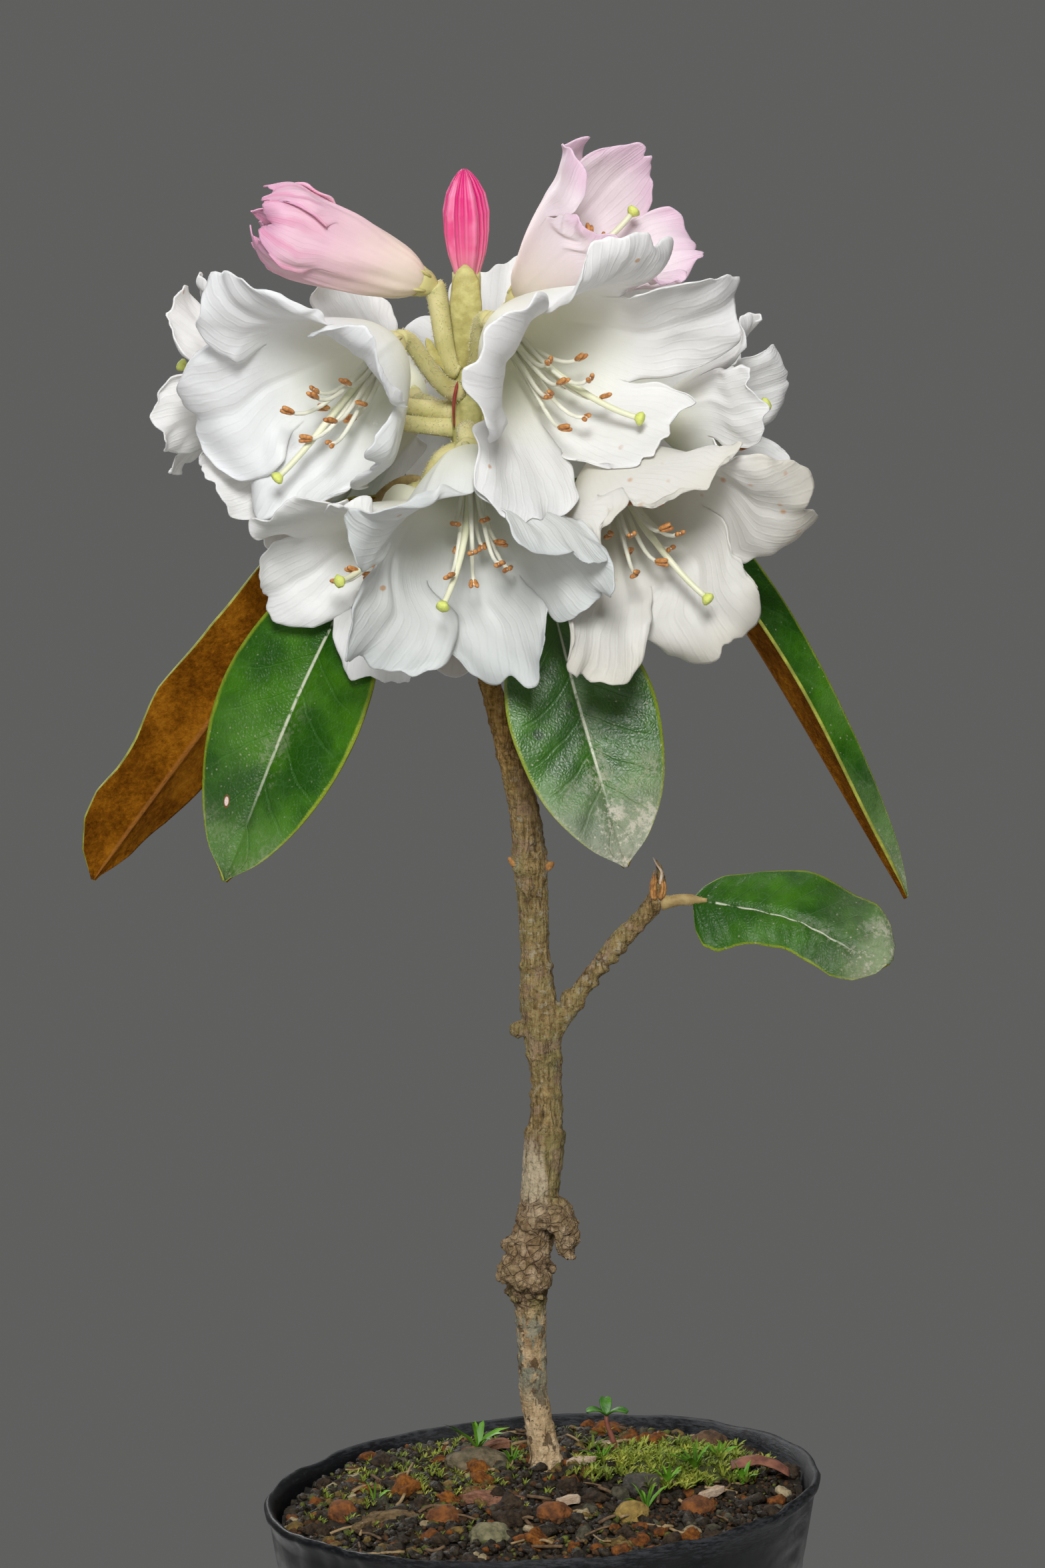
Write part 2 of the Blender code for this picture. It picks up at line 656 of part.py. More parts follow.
def pedicel_start(base):
    """Place on the flower stalk where the pedicel of a bloom begins, and the way it leaves."""
    away = Vector((base.x - STALK_AXIS.x, base.y - STALK_AXIS.y, 0.0)).normalized()
    share = (base.z - LOWEST_BLOOM_BASE) / (HIGHEST_BLOOM_BASE - LOWEST_BLOOM_BASE)
    height = LOWEST_PEDICEL + share * (HIGHEST_PEDICEL - LOWEST_PEDICEL)
    place = STALK_AXIS + away * (STALK_RADIUS + GAP) + Vector((0.0, 0.0, height))
    return place, away


def pedicel_course(base, forward):
    """Pedicel from the flower stalk to the base of the corolla, and the swollen end inside it."""
    start, away = pedicel_start(base)
    pull = (base - start).length * PEDICEL_PULL
    end = base - forward * RECEPTACLE_LENGTH
    knots = (start, start + away * pull, end - forward * pull, end)
    course = []
    for i in range(PEDICEL_SAMPLES):
        t = i / (PEDICEL_SAMPLES - 1)
        weights = ((1 - t) ** 3, 3 * t * (1 - t) ** 2, 3 * t * t * (1 - t), t ** 3)
        place = sum((knot * weight for knot, weight in zip(knots, weights)), Vector())
        course.append((*place, PEDICEL_RADIUS))
    course.append((*(base - forward * GAP), RECEPTACLE_RADIUS))
    course.append((*(base + forward * 2 * CALYX_DEPTH), RECEPTACLE_RADIUS))
    return course


def build_bloom(name, mouth, facing, roll, scale, wall, seed, slot, parts):
    axes = bloom_axes(facing, roll)
    right, up, forward = axes
    base = Vector(mouth) - forward * MOUTH_DEPTH * min(1.0, scale)
    petals = build_corolla(name, base, axes, scale, wall, seed, parts)
    extras = new_collection(name + "_middle")
    limb("pedicel", pedicel_course(base, forward), extras, 1)
    style = [(*(base + (up * rise + forward * depth) * scale), radius) for rise, depth, radius in STYLE_COURSE]
    limb("style", style, extras, 0)
    for i in range(STAMENS):
        turn = math.tau * (i + 0.5) / STAMENS
        around = right * math.cos(turn) + up * math.sin(turn)
        foot = base + forward * CALYX_DEPTH + around * STAMEN_RING_RADIUS
        depth = STAMEN_DEPTH + STAMEN_STEP * i
        tip = base + (forward * depth + around * STAMEN_SPREAD + up * STAMEN_STEP) * scale
        limb("stamen", [(*foot, STAMEN_RADIUS), (*tip, ANTHER_RADIUS)], extras, 0)
    return finish(fuse(petals, extras), slot)


def build_blooms(parts):
    for seed, (name, (mouth, facing, reach, roll)) in enumerate(BLOOMS.items()):
        build_bloom(name, mouth, facing, roll, reach / OPEN_RADIUS, OPEN_WALL, seed, "petal", parts)
    mouth, facing, reach, roll = HALF_OPEN_BLOOM
    build_bloom("bloom_half_open", mouth, facing, roll, reach / HALF_OPEN_RADIUS, HALF_OPEN_WALL, 20,
                "pink_petal", parts)


def build_opening_bud(parts):
    """Club-shaped bud of rolled petals on its pedicel."""
    foot, facing, length, radius = OPENING_BUD
    forward = Vector(facing).normalized()
    base = Vector(foot)
    outline = ((0.0, 0.30), (0.10, 0.52), (0.35, 0.80), (0.65, 1.0), (0.88, 0.90), (0.97, 0.62), (1.0, 0.25))
    body = [(*(base + forward * length * along), radius * share) for along, share in outline]
    pedicel = pedicel_course(base, forward)[:PEDICEL_SAMPLES]
    return finish(limb("bud_opening", pedicel + body, parts, 2), "pink_petal")


def build_closed_bud(parts):
    """Spindle of closed petals above the green bract that stands on the flower stalk."""
    foot, tip, radius = CLOSED_BUD
    foot, tip = Vector(foot), Vector(tip)
    outline = ((0.0, 0.34), (0.14, 0.74), (0.30, 0.70), (0.38, 0.62), (0.46, 0.88), (0.62, 1.0), (0.80, 0.84),
               (0.93, 0.46), (1.0, 0.14))
    course = [(*foot.lerp(tip, along), radius * share) for along, share in outline]
    return finish(limb("bud_closed", course, parts, 2), "bud")


def main():
    clear_scene()
    parts = new_collection("potted_rhododendron")
    cutters = new_collection("cutters")
    build_pot(parts, cutters)
    mix = build_mix(parts)
    build_surface_pieces(parts, cutters, mix)
    build_trunk(parts)
    build_side_branch(parts)
    build_stalk(parts)
    for name in LEAVES:
        build_leaf(name, parts)
    build_blooms(parts)
    build_opening_bud(parts)
    build_closed_bud(parts)


main()
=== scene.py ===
# Looks of a potted rhododendron in bloom: petals, leaves, bark, black pot and gritty mix.
# Lengths are in millimetres and angles in degrees until a mesh is made.

import random
from math import cos, exp, hypot, pi, radians, sin, sqrt, tan, tau

import bmesh
import bpy
import numpy as np
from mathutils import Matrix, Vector, noise


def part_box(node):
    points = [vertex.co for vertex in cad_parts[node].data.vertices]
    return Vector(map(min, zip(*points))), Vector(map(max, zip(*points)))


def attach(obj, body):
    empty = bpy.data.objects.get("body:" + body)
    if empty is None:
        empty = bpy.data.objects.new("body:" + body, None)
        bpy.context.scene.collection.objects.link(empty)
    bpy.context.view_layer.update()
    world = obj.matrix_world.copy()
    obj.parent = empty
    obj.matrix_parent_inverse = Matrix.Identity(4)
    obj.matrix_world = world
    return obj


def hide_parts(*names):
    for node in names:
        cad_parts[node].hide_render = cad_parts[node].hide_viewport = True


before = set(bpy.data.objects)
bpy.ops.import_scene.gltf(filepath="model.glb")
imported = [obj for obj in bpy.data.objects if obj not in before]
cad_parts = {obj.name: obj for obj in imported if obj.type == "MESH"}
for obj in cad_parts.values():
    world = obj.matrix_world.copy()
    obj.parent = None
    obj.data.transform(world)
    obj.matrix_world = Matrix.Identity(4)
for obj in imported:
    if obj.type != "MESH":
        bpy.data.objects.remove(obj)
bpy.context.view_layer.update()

MM = 0.001
TURN = tau

# Plane waves summed in an uneven ripple
RIPPLE_WAVES = 7

# Flower head: axis, foot and top of its stalk
STALK_AXIS = np.array((-15.6, 5.0, 0.0))
STALK_FOOT = 322.3
STALK_TOP = 350.0
STALK_RADIUS = 3.7
LOWEST_PEDICEL = 325.3
HIGHEST_PEDICEL = 346.0
LOWEST_BLOOM_BASE = 314.0
HIGHEST_BLOOM_BASE = 366.0

# Blooms: centre of the mouth, way it faces, radius across the lobes and roll of the lobes
BLOOMS = {
    "bloom_front": ((8.0, -40.0, 343.0), (0.62, -0.67, -0.4), 30.5, 8),
    "bloom_front_low": ((-12.5, -43.5, 307.5), (0.1, -0.64, -0.76), 29.0, -30),
    "bloom_front_left": ((-47.0, -31.0, 337.5), (-0.58, -0.67, -0.46), 28.5, 14),
    "bloom_right_low": ((23.0, -37.0, 311.5), (0.37, -0.77, -0.51), 28.5, 20),
    "bloom_right": ((42.0, -5.0, 335.0), (0.93, -0.25, 0.05), 20.0, 0),
    "bloom_left_low": ((-38.0, -13.0, 303.0), (-0.5, -0.6, -0.62), 25.0, 30),
    "bloom_left_hanging": ((-58.0, 11.0, 321.0), (-0.84, 0.18, -0.5), 21.0, -10),
    "bloom_far_left": ((-72.0, 15.0, 342.0), (-0.97, 0.1, 0.1), 20.5, 24),
    "bloom_back_left": ((-42.0, 41.0, 336.0), (-0.6, 0.8, -0.03), 25.0, 10),
    "bloom_back": ((-8.0, 55.0, 337.5), (0.15, 0.98, 0.02), 26.0, 0),
    "bloom_back_right": ((23.0, 39.0, 337.0), (0.7, 0.7, 0.02), 24.0, -16),
    "bloom_back_low": ((-15.0, 43.0, 300.0), (0.01, 0.7, -0.71), 24.0, 36),
}
HALF_OPEN_BLOOM = ((12.0, -7.6, 373.0), (0.68, -0.3, 0.58), 17.0, 20)
OPENING_BUD = ((-25.2, 0.3, 362.6), (-0.9, -0.17, 0.36), 36.0, 8.8)
CLOSED_BUD = ((-15.6, 4.2, 350.6), (-16.4, -3.5, 387.0), 5.1)
BUD_START = 12.5
BUD_LENGTH = 23.9
BRACT_LENGTH = 14.0
MOUTH_DEPTH = 28.0

# Corolla seen from its side: arc length from the calyx and angle between its wall and its axis
OPEN_WALL = ((0, 64), (4, 52), (12, 32), (27, 26), (36, 42), (48, 58))
HALF_OPEN_WALL = ((0, 64), (4, 48), (12, 24), (27, 17), (36, 16), (48, 22))
OPENING_BUD_WALL = ((0, 62), (3, 34), (9, 13), (20, 9), (30, 6), (36, 0), (41, -28), (46, -72), (57, -95))
OPEN_RADIUS = 29.6
HALF_OPEN_RADIUS = 20.5
CALYX_RADIUS = 2.0
TUBE_ARC = 27.0
LOBE_ARC = 21.0
LOBES = 5
LOBE_FLARE = (-10, 12)
RUFFLE = 1.8
RUFFLE_TURNS = 4.2
LOBE_STAGGER = 1.6
NOTCH = 0.07
TEETH = 0.018
SCALLOPS = 0.055
MIDLINE = 0.55
ROLLED_MARGIN = 1.5
YOUNG_ROLL = 0.35
TUBE_SHARE = 0.3
PETAL_COLUMNS = 38
PETAL_ROWS = 52
PETAL_WALL = 0.3
PETAL_RELIEF = 0.12
PETAL_MARGIN = 0.35
WALL_SOFTNESS = 1.4
HOLDING_ROUNDS = 12

# How each lobe differs from the plain rule: share of the length, overlap, curl back and swing aside
LOBE_HABITS = {
    "bloom_front": ((0.98, 0.02, 44, -6), (1.12, 0.1, 24, -4), (1.14, 0.04, 4, 2), (1.22, 0.16, -14, 6),
                    (1.12, 0.2, 18, 8)),
    "bloom_front_low": ((0.98, -0.04, 24, -14), (0.98, -0.03, 28, 12), (1.14, 0.02, -14, 24),
                        (1.1, 0.04, -10, 12), (1.0, 0.04, 14, 4)),
    "bloom_front_left": ((0.98, 0.1, 18, 6), (1.06, 0.16, 22, 8), (1.04, 0.06, 12, -8), (1.1, 0.12, -4, -8),
                         (0.92, 0.04, 26, 0)),
    "bloom_right_low": ((1.0, 0.06, 20, -14), (0.98, 0.02, 6, -20), (1.1, 0.0, -6, -8),
                        (1.02, 0.05, 2, -16), (1.06, 0.14, 34, -20)),
    "bloom_right": ((0.92, 0.0, 30, 6), (1.22, 0.02, -6, 10), (0.9, 0.0, 24, 6), (1.0, 0.05, 20, 0),
                    (1.05, 0.05, 16, 0)),
    "bloom_left_low": ((1.0, 0.05, 20, -6), (1.05, 0.08, 16, 0), (1.1, 0.02, -6, -8), (1.0, 0.04, 10, 0),
                       (0.95, 0.05, 24, 0)),
    "bloom_half_open": ((0.84, 0.55, 2, 0), (0.62, 0.05, 80, 14), (0.92, -0.04, 46, 0), (1.04, 0.02, 40, 4),
                        (1.08, 0.26, -24, 2)),
    "bud_opening": ((0.96, 0.46, -8, 0), (0.94, 0.48, -24, 0), (0.95, 0.44, 4, 0), (0.96, 0.48, -14, 0),
                    (0.98, 0.5, 12, 0)),
}

# Blooms and buds whose lobes lie over those of a neighbour, and how far the border leans back for that
IN_FRONT = {
    ("bloom_front", "bloom_half_open"), ("bloom_front", "bloom_right"), ("bloom_front", "bloom_right_low"),
    ("bloom_front", "bloom_front_low"), ("bloom_front_low", "bloom_left_low"),
    ("bloom_front_low", "bloom_front_left"), ("bloom_front_low", "bloom_right_low"),
    ("bloom_left_low", "bloom_front_left"), ("bloom_front_left", "bloom_far_left"),
    ("bloom_front_left", "bloom_left_hanging"), ("bloom_front_left", "bloom_back_left"),
    ("bloom_front_left", "bud_opening"), ("bloom_right_low", "bloom_right"),
}
BORDER_LEAN = 0.75

# Where each stigma stands to the right of its bloom's axis and above it
STYLE_BENDS = {
    "bloom_front": (10, -4), "bloom_front_low": (-8, -6), "bloom_front_left": (-10, -13),
    "bloom_right_low": (12, -11), "bloom_half_open": (9, 1),
}

# Leaves: where the stalk meets the wood, knee, middle, tip, way the upper face looks, half width, fold
LEAVES = {
    "leaf_far_left": ((-18.9, 6.4, 317.5), (-35.0, 24.0, 316.0), (-72.5, 34.0, 267.0),
                      (-98.5, 34.0, 232.0), (-0.52, 0.75, 0.4), 15.5, 20),
    "leaf_front_left": ((-18.6, 5.2, 312.5), (-34.0, 8.0, 307.0), (-50.5, 6.0, 278.0),
                        (-67.5, 0.0, 236.0), (-0.3, -0.9, 0.3), 17.0, 8),
    "leaf_front_right": ((-13.6, 2.0, 314.0), (-3.0, -4.0, 311.0), (7.5, -10.0, 275.0),
                         (17.5, -18.0, 241.5), (0.1, -0.92, 0.38), 16.0, 8),
    "leaf_right": ((-12.2, 5.6, 317.0), (3.0, 6.5, 319.5), (33.5, 8.5, 303.0),
                   (78.5, 12.0, 231.0), (0.72, -0.3, 0.62), 13.0, 30),
    "leaf_back_left": ((-17.2, 8.4, 317.5), (-28.0, 25.0, 318.0), (-44.0, 56.0, 302.0),
                       (-56.0, 81.0, 276.0), (-0.4, 0.62, 0.68), 14.0, 14),
    "leaf_back_right": ((-13.4, 8.0, 313.5), (2.0, 25.0, 316.0), (21.0, 55.0, 308.0),
                        (36.0, 79.0, 290.0), (0.3, 0.5, 0.81), 14.0, 14),
    "leaf_side": ((26.7, 8.0, 230.4), (32.6, 7.6, 230.9), (54.0, 3.0, 229.5),
                  (74.0, -3.0, 219.5), (-0.05, -0.78, 0.62), 10.5, -10),
}
LEAF_WALL = 0.7
LEAF_RELIEF = 0.26
LEAF_WAVES = {"leaf_side": 1.3, "leaf_far_left": 1.1, "leaf_right": 0.9}
LEAF_QUILTING = {"leaf_front_right": 0.24, "leaf_side": 0.18}
MIDRIB_ASIDE = {"leaf_side": 0.26}

# Leaves with uneven margins: share of the half width along one side and along the other
LEAF_MARGINS = {
    "leaf_far_left": (((0, 0.05), (0.05, 0.35), (0.15, 0.66), (0.35, 0.9), (0.5, 0.9), (0.62, 0.78),
                       (0.72, 0.73), (0.8, 0.75), (0.88, 0.66), (0.95, 0.4), (1, 0.03)),
                      ((0, 0.05), (0.05, 0.4), (0.2, 0.8), (0.4, 1.0), (0.6, 0.98), (0.78, 0.8),
                       (0.9, 0.48), (1, 0.03))),
    "leaf_side": (((0, 0.08), (0.05, 0.34), (0.15, 0.68), (0.3, 0.94), (0.48, 1.06), (0.65, 1.06),
                   (0.8, 0.96), (0.9, 0.76), (0.97, 0.42), (1, 0.05)),
                  ((0, 0.08), (0.03, 0.62), (0.08, 0.95), (0.15, 1.04), (0.24, 0.94), (0.36, 0.84),
                   (0.5, 0.84), (0.66, 0.9), (0.8, 0.88), (0.9, 0.7), (0.97, 0.38), (1, 0.04))),
}
# Small marks on a leaf's upper face: share of its length, share of its half width, radius, rim, middle
DARK_MARK = ((0.012, 0.06, 0.002), (0.01, 0.05, 0.002))
LEAF_MARKS = {
    "leaf_front_left": ((0.83, 0.5, 1.1, (0.16, 0.075, 0.02), (0.75, 0.6, 0.55)),),
    "leaf_front_right": ((0.5, 0.14, 0.9, *DARK_MARK),
                         (0.56, 0.66, 1.3, *DARK_MARK),
                         (0.4, -0.2, 0.7, *DARK_MARK)),
}
LEAF_LENGTH = 80.0
SIDE_VEINS = 9.0
VEIN_SLANT = 1.7
VEIN_BEND = 0.5
LEAF_COLUMNS = 36
LEAF_ROWS = 96

# Old shoot that curls over beside the burl: places along it and its radius there
HOOK = ((-2.0, 7.6, 161.0, 3.2), (0.4, 6.4, 162.4, 3.1), (2.8, 6.0, 162.3, 3.2), (4.8, 6.2, 160.4, 3.1),
        (5.6, 6.4, 157.9, 2.7), (5.0, 6.2, 155.6, 2.1), (5.6, 5.6, 154.0, 1.2), (6.9, 5.2, 153.6, 0.8))

# Middle of the swelling near the foot of the stem
BURL_CENTRE = np.array((-3.4, 10.6, 150.0))

# Heights on the stem: end of its outer layer of bark, and rings left by old leaves
SHEATH_TOP = 181.0
SCAR_RINGS = (188.4, 196.5, 216.5, 237.5, 240.5, 262.0)

# Rings round the side shoot: share of its length and radius
SHOOT_RINGS = ((0.16, 2.5), (0.3, 2.35), (0.42, 2.5), (0.52, 2.6), (0.63, 2.3), (0.74, 2.5), (0.84, 2.4))

# Pot and the crooked rim that its mix follows
POT_TOP_RADIUS = 60.0
POT_FOOT_RADIUS = 42.5
POT_HEIGHT = 105.2
POT_WALL = 1.5
POT_LIP = 2.2
RIM_LEAN_RIGHT = 3.7
RIM_LEAN_BACK = 0.8
DRAIN_RADIUS = 4.5
DRAIN_RING_RADIUS = 31.0
DRAIN_COUNT = 6
MOUND_TOP = 105.9
MOUND_FALL = 5.5
TRUNK_FOOT = (1.0, 12.0)


class Socket:
    """Output of a node, on which sums are written as on a number."""

    def __init__(self, paint, link):
        self.paint = paint
        self.link = link

    def __add__(self, other):
        return self.paint.math("ADD", self, other)

    def __sub__(self, other):
        return self.paint.math("SUBTRACT", self, other)

    def __rsub__(self, other):
        return self.paint.math("SUBTRACT", other, self)

    def __mul__(self, other):
        return self.paint.math("MULTIPLY", self, other)

    __radd__ = __add__
    __rmul__ = __mul__


class Paint:
    """A material with one Principled shader, whose nodes come from expressions."""

    def __init__(self, name, **constants):
        self.material = bpy.data.materials.new(name)
        self.material.use_nodes = True
        self.tree = self.material.node_tree
        self.shader = self.tree.nodes["Principled BSDF"]
        for socket, value in constants.items():
            self.shader.inputs[socket.replace("_", " ")].default_value = value

    def node(self, kind, settings, sockets, output=0):
        node = self.tree.nodes.new(kind)
        for name, value in settings.items():
            setattr(node, name, value)
        for name, value in sockets.items():
            self.feed(node.inputs[name], value)
        return Socket(self, node.outputs[output])

    def feed(self, socket, value):
        if isinstance(value, Socket):
            self.tree.links.new(value.link, socket)
        elif isinstance(value, tuple) and len(value) == 3 and socket.type == "RGBA":
            socket.default_value = (*value, 1.0)
        else:
            socket.default_value = value

    def finished(self, colour, roughness, height=None, depth=0.0):
        """Material with relief of depth millimetres where height runs from 0 to 1."""
        self.feed(self.shader.inputs["Base Color"], colour)
        self.feed(self.shader.inputs["Roughness"], roughness)
        if height:
            sockets = {"Height": height, "Distance": depth * MM, "Strength": 1.0}
            self.feed(self.shader.inputs["Normal"], self.node("ShaderNodeBump", {}, sockets))
        return self.material

    def math(self, operation, *values):
        return self.node("ShaderNodeMath", {"operation": operation}, dict(enumerate(values)))

    def place(self):
        return self.node("ShaderNodeTexCoord", {}, {}, "Object")

    def stretched(self, x, y, z):
        return self.node("ShaderNodeMapping", {}, {"Vector": self.place(), "Scale": (x, y, z)})

    def cloud(self, size, detail=3.0, roughness=0.55, vector=None):
        """Noise from 0 to 1 whose blotches are about that many millimetres across."""
        sockets = {"Vector": vector or self.place(), "Scale": 1.0 / (size * MM), "Detail": detail,
                   "Roughness": roughness}
        return self.node("ShaderNodeTexNoise", {}, sockets)

    def cells(self, size, feature="F1", vector=None):
        sockets = {"Vector": vector or self.place(), "Scale": 1.0 / (size * MM)}
        return self.node("ShaderNodeTexVoronoi", {"feature": feature}, sockets)

    def along(self, axis):
        """Place along an object axis, in millimetres."""
        return self.node("ShaderNodeSeparateXYZ", {}, {0: self.place()}, axis) * (1 / MM)

    def uv(self, axis):
        spot = self.node("ShaderNodeUVMap", {"uv_map": "UVMap"}, {})
        return self.node("ShaderNodeSeparateXYZ", {}, {0: spot}, axis)

    def step(self, value, low, high):
        """0 below low and 1 above high, smooth between them; the other way round if low is above high."""
        sockets = {"Value": value, "From Min": low, "From Max": high}
        return self.node("ShaderNodeMapRange", {"interpolation_type": "SMOOTHSTEP"}, sockets)

    def patches(self, low, high, *cloud):
        """Where a cloud rises from low to high."""
        return self.step(self.cloud(*cloud), low, high)

    def blend(self, share, first, second):
        return self.node("ShaderNodeMix", {"data_type": "RGBA"}, {0: share, 6: first, 7: second}, 2)

    def layers(self, colour, *coats):
        """Colour under coats, each a share and a colour."""
        for share, coat in coats:
            colour = self.blend(share, colour, coat)
        return colour

    def ramp(self, value, *stops):
        made = self.node("ShaderNodeValToRGB", {}, {0: value})
        elements = made.link.node.color_ramp.elements
        while len(elements) < len(stops):
            elements.new(1.0)
        for element, (place, colour) in zip(elements, stops):
            element.position = place
            element.color = (*colour, 1.0)
        return made


def primitive(operator, name, **settings):
    """Add a plain shape, with its place and size written into its points."""
    bpy.ops.object.select_all(action="DESELECT")
    operator(**settings)
    bpy.ops.object.transform_apply()
    return newest(name)


def newest(name):
    """Name the piece that was made last."""
    piece = bpy.context.object
    piece.name = name
    piece.data.name = name
    return piece


def choose(*pieces):
    """Select these pieces alone, with the first one active."""
    bpy.ops.object.select_all(action="DESELECT")
    for piece in pieces:
        piece.select_set(True)
    bpy.context.view_layer.objects.active = pieces[0]


def points_of(mesh, kind="co"):
    """A mesh's points, or its normals, as rows of numbers."""
    rows = np.zeros(len(mesh.vertices) * 3)
    mesh.vertices.foreach_get(kind, rows)
    return rows.reshape(-1, 3)


def move_points(mesh, points):
    mesh.vertices.foreach_set("co", (np.asarray(points) * MM).ravel())
    mesh.update()


def refine(piece, kind, **settings):
    """Add a modifier and apply it."""
    choose(piece)
    modifier = piece.modifiers.new("refine", kind)
    for name, value in settings.items():
        setattr(modifier, name, value)
    bpy.ops.object.modifier_apply(modifier=modifier.name)
    return piece


def join(name, pieces):
    choose(*pieces)
    bpy.ops.object.join()
    return newest(name)


def edit(piece, *steps):
    """Run steps on the whole mesh in edit mode, each an operator and its settings."""
    choose(piece)
    bpy.ops.object.mode_set(mode="EDIT")
    bpy.ops.mesh.select_all(action="SELECT")
    for operator, settings in steps:
        operator(**settings)
    bpy.ops.object.mode_set(mode="OBJECT")
    return piece


def weld(piece, distance):
    """Merge the points that are that close together, and turn every face outwards."""
    return edit(piece, (bpy.ops.mesh.remove_doubles, {"threshold": distance * MM}),
                (bpy.ops.mesh.normals_make_consistent, {"inside": False}))


def sheet(name, columns, rows, rule):
    """Grid shaped by a rule that turns places across and along it, both from -1 to 1, into points."""
    piece = primitive(bpy.ops.mesh.primitive_grid_add, name, x_subdivisions=columns, y_subdivisions=rows,
                      size=2)
    flat = points_of(piece.data)
    move_points(piece.data, rule(flat[:, 0], flat[:, 1]))
    return piece


def dress(piece, slot, *materials, replaces=()):
    """Give a finished piece its materials and its body, and hide the nodes that it stands for; the slot is not
    used.
    """
    for paint in materials:
        piece.data.materials.append(paint)
    piece.data.shade_smooth()
    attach(piece, "root")
    if replaces:
        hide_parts(*replaces)
    return piece


class Heap:
    """Many small shapes gathered into one mesh, each with the number of its material."""

    def __init__(self):
        self.points = []
        self.faces = []
        self.paints = []
        self.count = 0

    def add(self, points, faces, paint=0):
        self.faces += [tuple(i + self.count for i in face) for face in faces]
        self.points.append(np.asarray(points, float))
        self.paints += [paint] * len(faces)
        self.count += len(points)

    def piece(self, name):
        mesh = bpy.data.meshes.new(name)
        mesh.from_pydata((np.vstack(self.points) * MM).tolist(), [], self.faces)
        mesh.polygons.foreach_set("material_index", self.paints)
        piece = bpy.data.objects.new(name, mesh)
        bpy.context.scene.collection.objects.link(piece)
        return piece


def unit(vector):
    """A vector, or each row of many, at length 1."""
    vector = np.asarray(vector, float)
    return vector / np.linalg.norm(vector, axis=-1, keepdims=True)


def across(way):
    """Any direction square to another."""
    return unit(np.cross(way, (0.0, 0.0, 1.0) if abs(way[2]) < 0.9 else (1.0, 0.0, 0.0)))


def spoke(way, side, turn):
    """Direction that stands off an axis, turned round it from a side."""
    return side * cos(turn) + np.cross(way, side) * sin(turn)


def spin(turn):
    """Matrix that turns points, as rows, round the upright axis."""
    c, s = cos(turn), sin(turn)
    return np.array(((c, s, 0), (-s, c, 0), (0, 0, 1)))


def wavy(depth, waves, twist=0.0):
    """Swelling of a limb in waves round it that twist along it."""
    return lambda t, turn: 1 + depth * cos(waves * turn + twist * t)


def strewn(edge, dice):
    """Any place on a round bed."""
    reach, turn = edge * sqrt(dice.random()), dice.uniform(0, TURN)
    return reach * cos(turn), reach * sin(turn)


def tube(course, radii, sides, flat=1.0, swell=None):
    """Points and faces of a round limb along a course, closed at both ends."""
    course = np.asarray(course, float)
    ways = np.gradient(course, axis=0)
    side = across(unit(ways[0]))
    rings = []
    for i, (centre, way, radius) in enumerate(zip(course, ways, radii)):
        way = unit(way)
        side = unit(side - way * side.dot(way))
        top = np.cross(way, side)
        for j in range(sides):
            turn = TURN * j / sides
            reach = radius * (swell(i / (len(course) - 1), turn) if swell else 1.0)
            rings.append(centre + reach * (cos(turn) * side + sin(turn) * top * flat))
    faces = []
    for i in range(len(course) - 1):
        for j in range(sides):
            k = (j + 1) % sides
            faces.append((i * sides + j, i * sides + k, (i + 1) * sides + k, (i + 1) * sides + j))
    faces.append(tuple(reversed(range(sides))))
    faces.append(tuple(range((len(course) - 1) * sides, len(course) * sides)))
    return rings, faces


def smooth_course(stations, steps):
    """Points on a smooth course through the stations, as rows of numbers."""
    rows = [np.array(station, float) for station in stations]
    rows = [2 * rows[0] - rows[1], *rows, 2 * rows[-1] - rows[-2]]
    course = []
    for before, start, end, after in zip(rows, rows[1:], rows[2:], rows[3:]):
        for t in np.arange(steps) / steps:
            course.append((2 * start + (end - before) * t
                           + (2 * before - 5 * start + 4 * end - after) * t ** 2
                           + (3 * start - before - 3 * end + after) * t ** 3) / 2)
    course.append(rows[-2])
    return np.array(course)


def arch(start, pull, push, end, samples):
    """Smooth curve from start to end that leaves towards pull and arrives from push."""
    t = np.linspace(0.0, 1.0, samples)[:, None]
    return ((1 - t) ** 3 * start + 3 * t * (1 - t) ** 2 * pull + 3 * t * t * (1 - t) * push + t ** 3 * end)


def ripples(seed, size, *places):
    """Uneven waves of about that size over places, from -1 to 1: a sum of plane waves."""
    dice = np.random.default_rng(seed)
    total = 0.0
    for _ in range(RIPPLE_WAVES):
        way = unit(dice.normal(size=len(places)))
        turns = dice.uniform(0.7, 1.5) * TURN / size
        total = total + np.sin(sum(w * p for w, p in zip(way, places)) * turns + dice.uniform(0, TURN))
    return total / sqrt(RIPPLE_WAVES) / 1.4


def soft_step(value, low, high):
    t = np.clip((value - low) / (high - low), 0.0, 1.0)
    return t * t * (3 - 2 * t)


def fuzz(heap, course, radii, count, length, dice, paint):
    """Down on a stalk: tiny three-sided hairs."""
    for _ in range(count):
        place = dice.uniform(0.02, 0.98) * (len(course) - 1)
        i = min(int(place), len(course) - 2)
        centre = course[i] + (course[i + 1] - course[i]) * (place - i)
        way = unit(course[i + 1] - course[i])
        out = spoke(way, across(way), dice.uniform(0, TURN))
        foot = centre + out * (radii[i] * 0.94)
        tip = foot + (out + way * dice.uniform(-0.4, 0.5)) * length * dice.uniform(0.6, 1.2)
        skirt = np.cross(out, way)
        corners = [foot + way * 0.07, foot - way * 0.05 + skirt * 0.06, foot - way * 0.05 - skirt * 0.06, tip]
        heap.add(corners, [(0, 1, 3), (1, 2, 3), (2, 0, 3), (2, 1, 0)], paint)


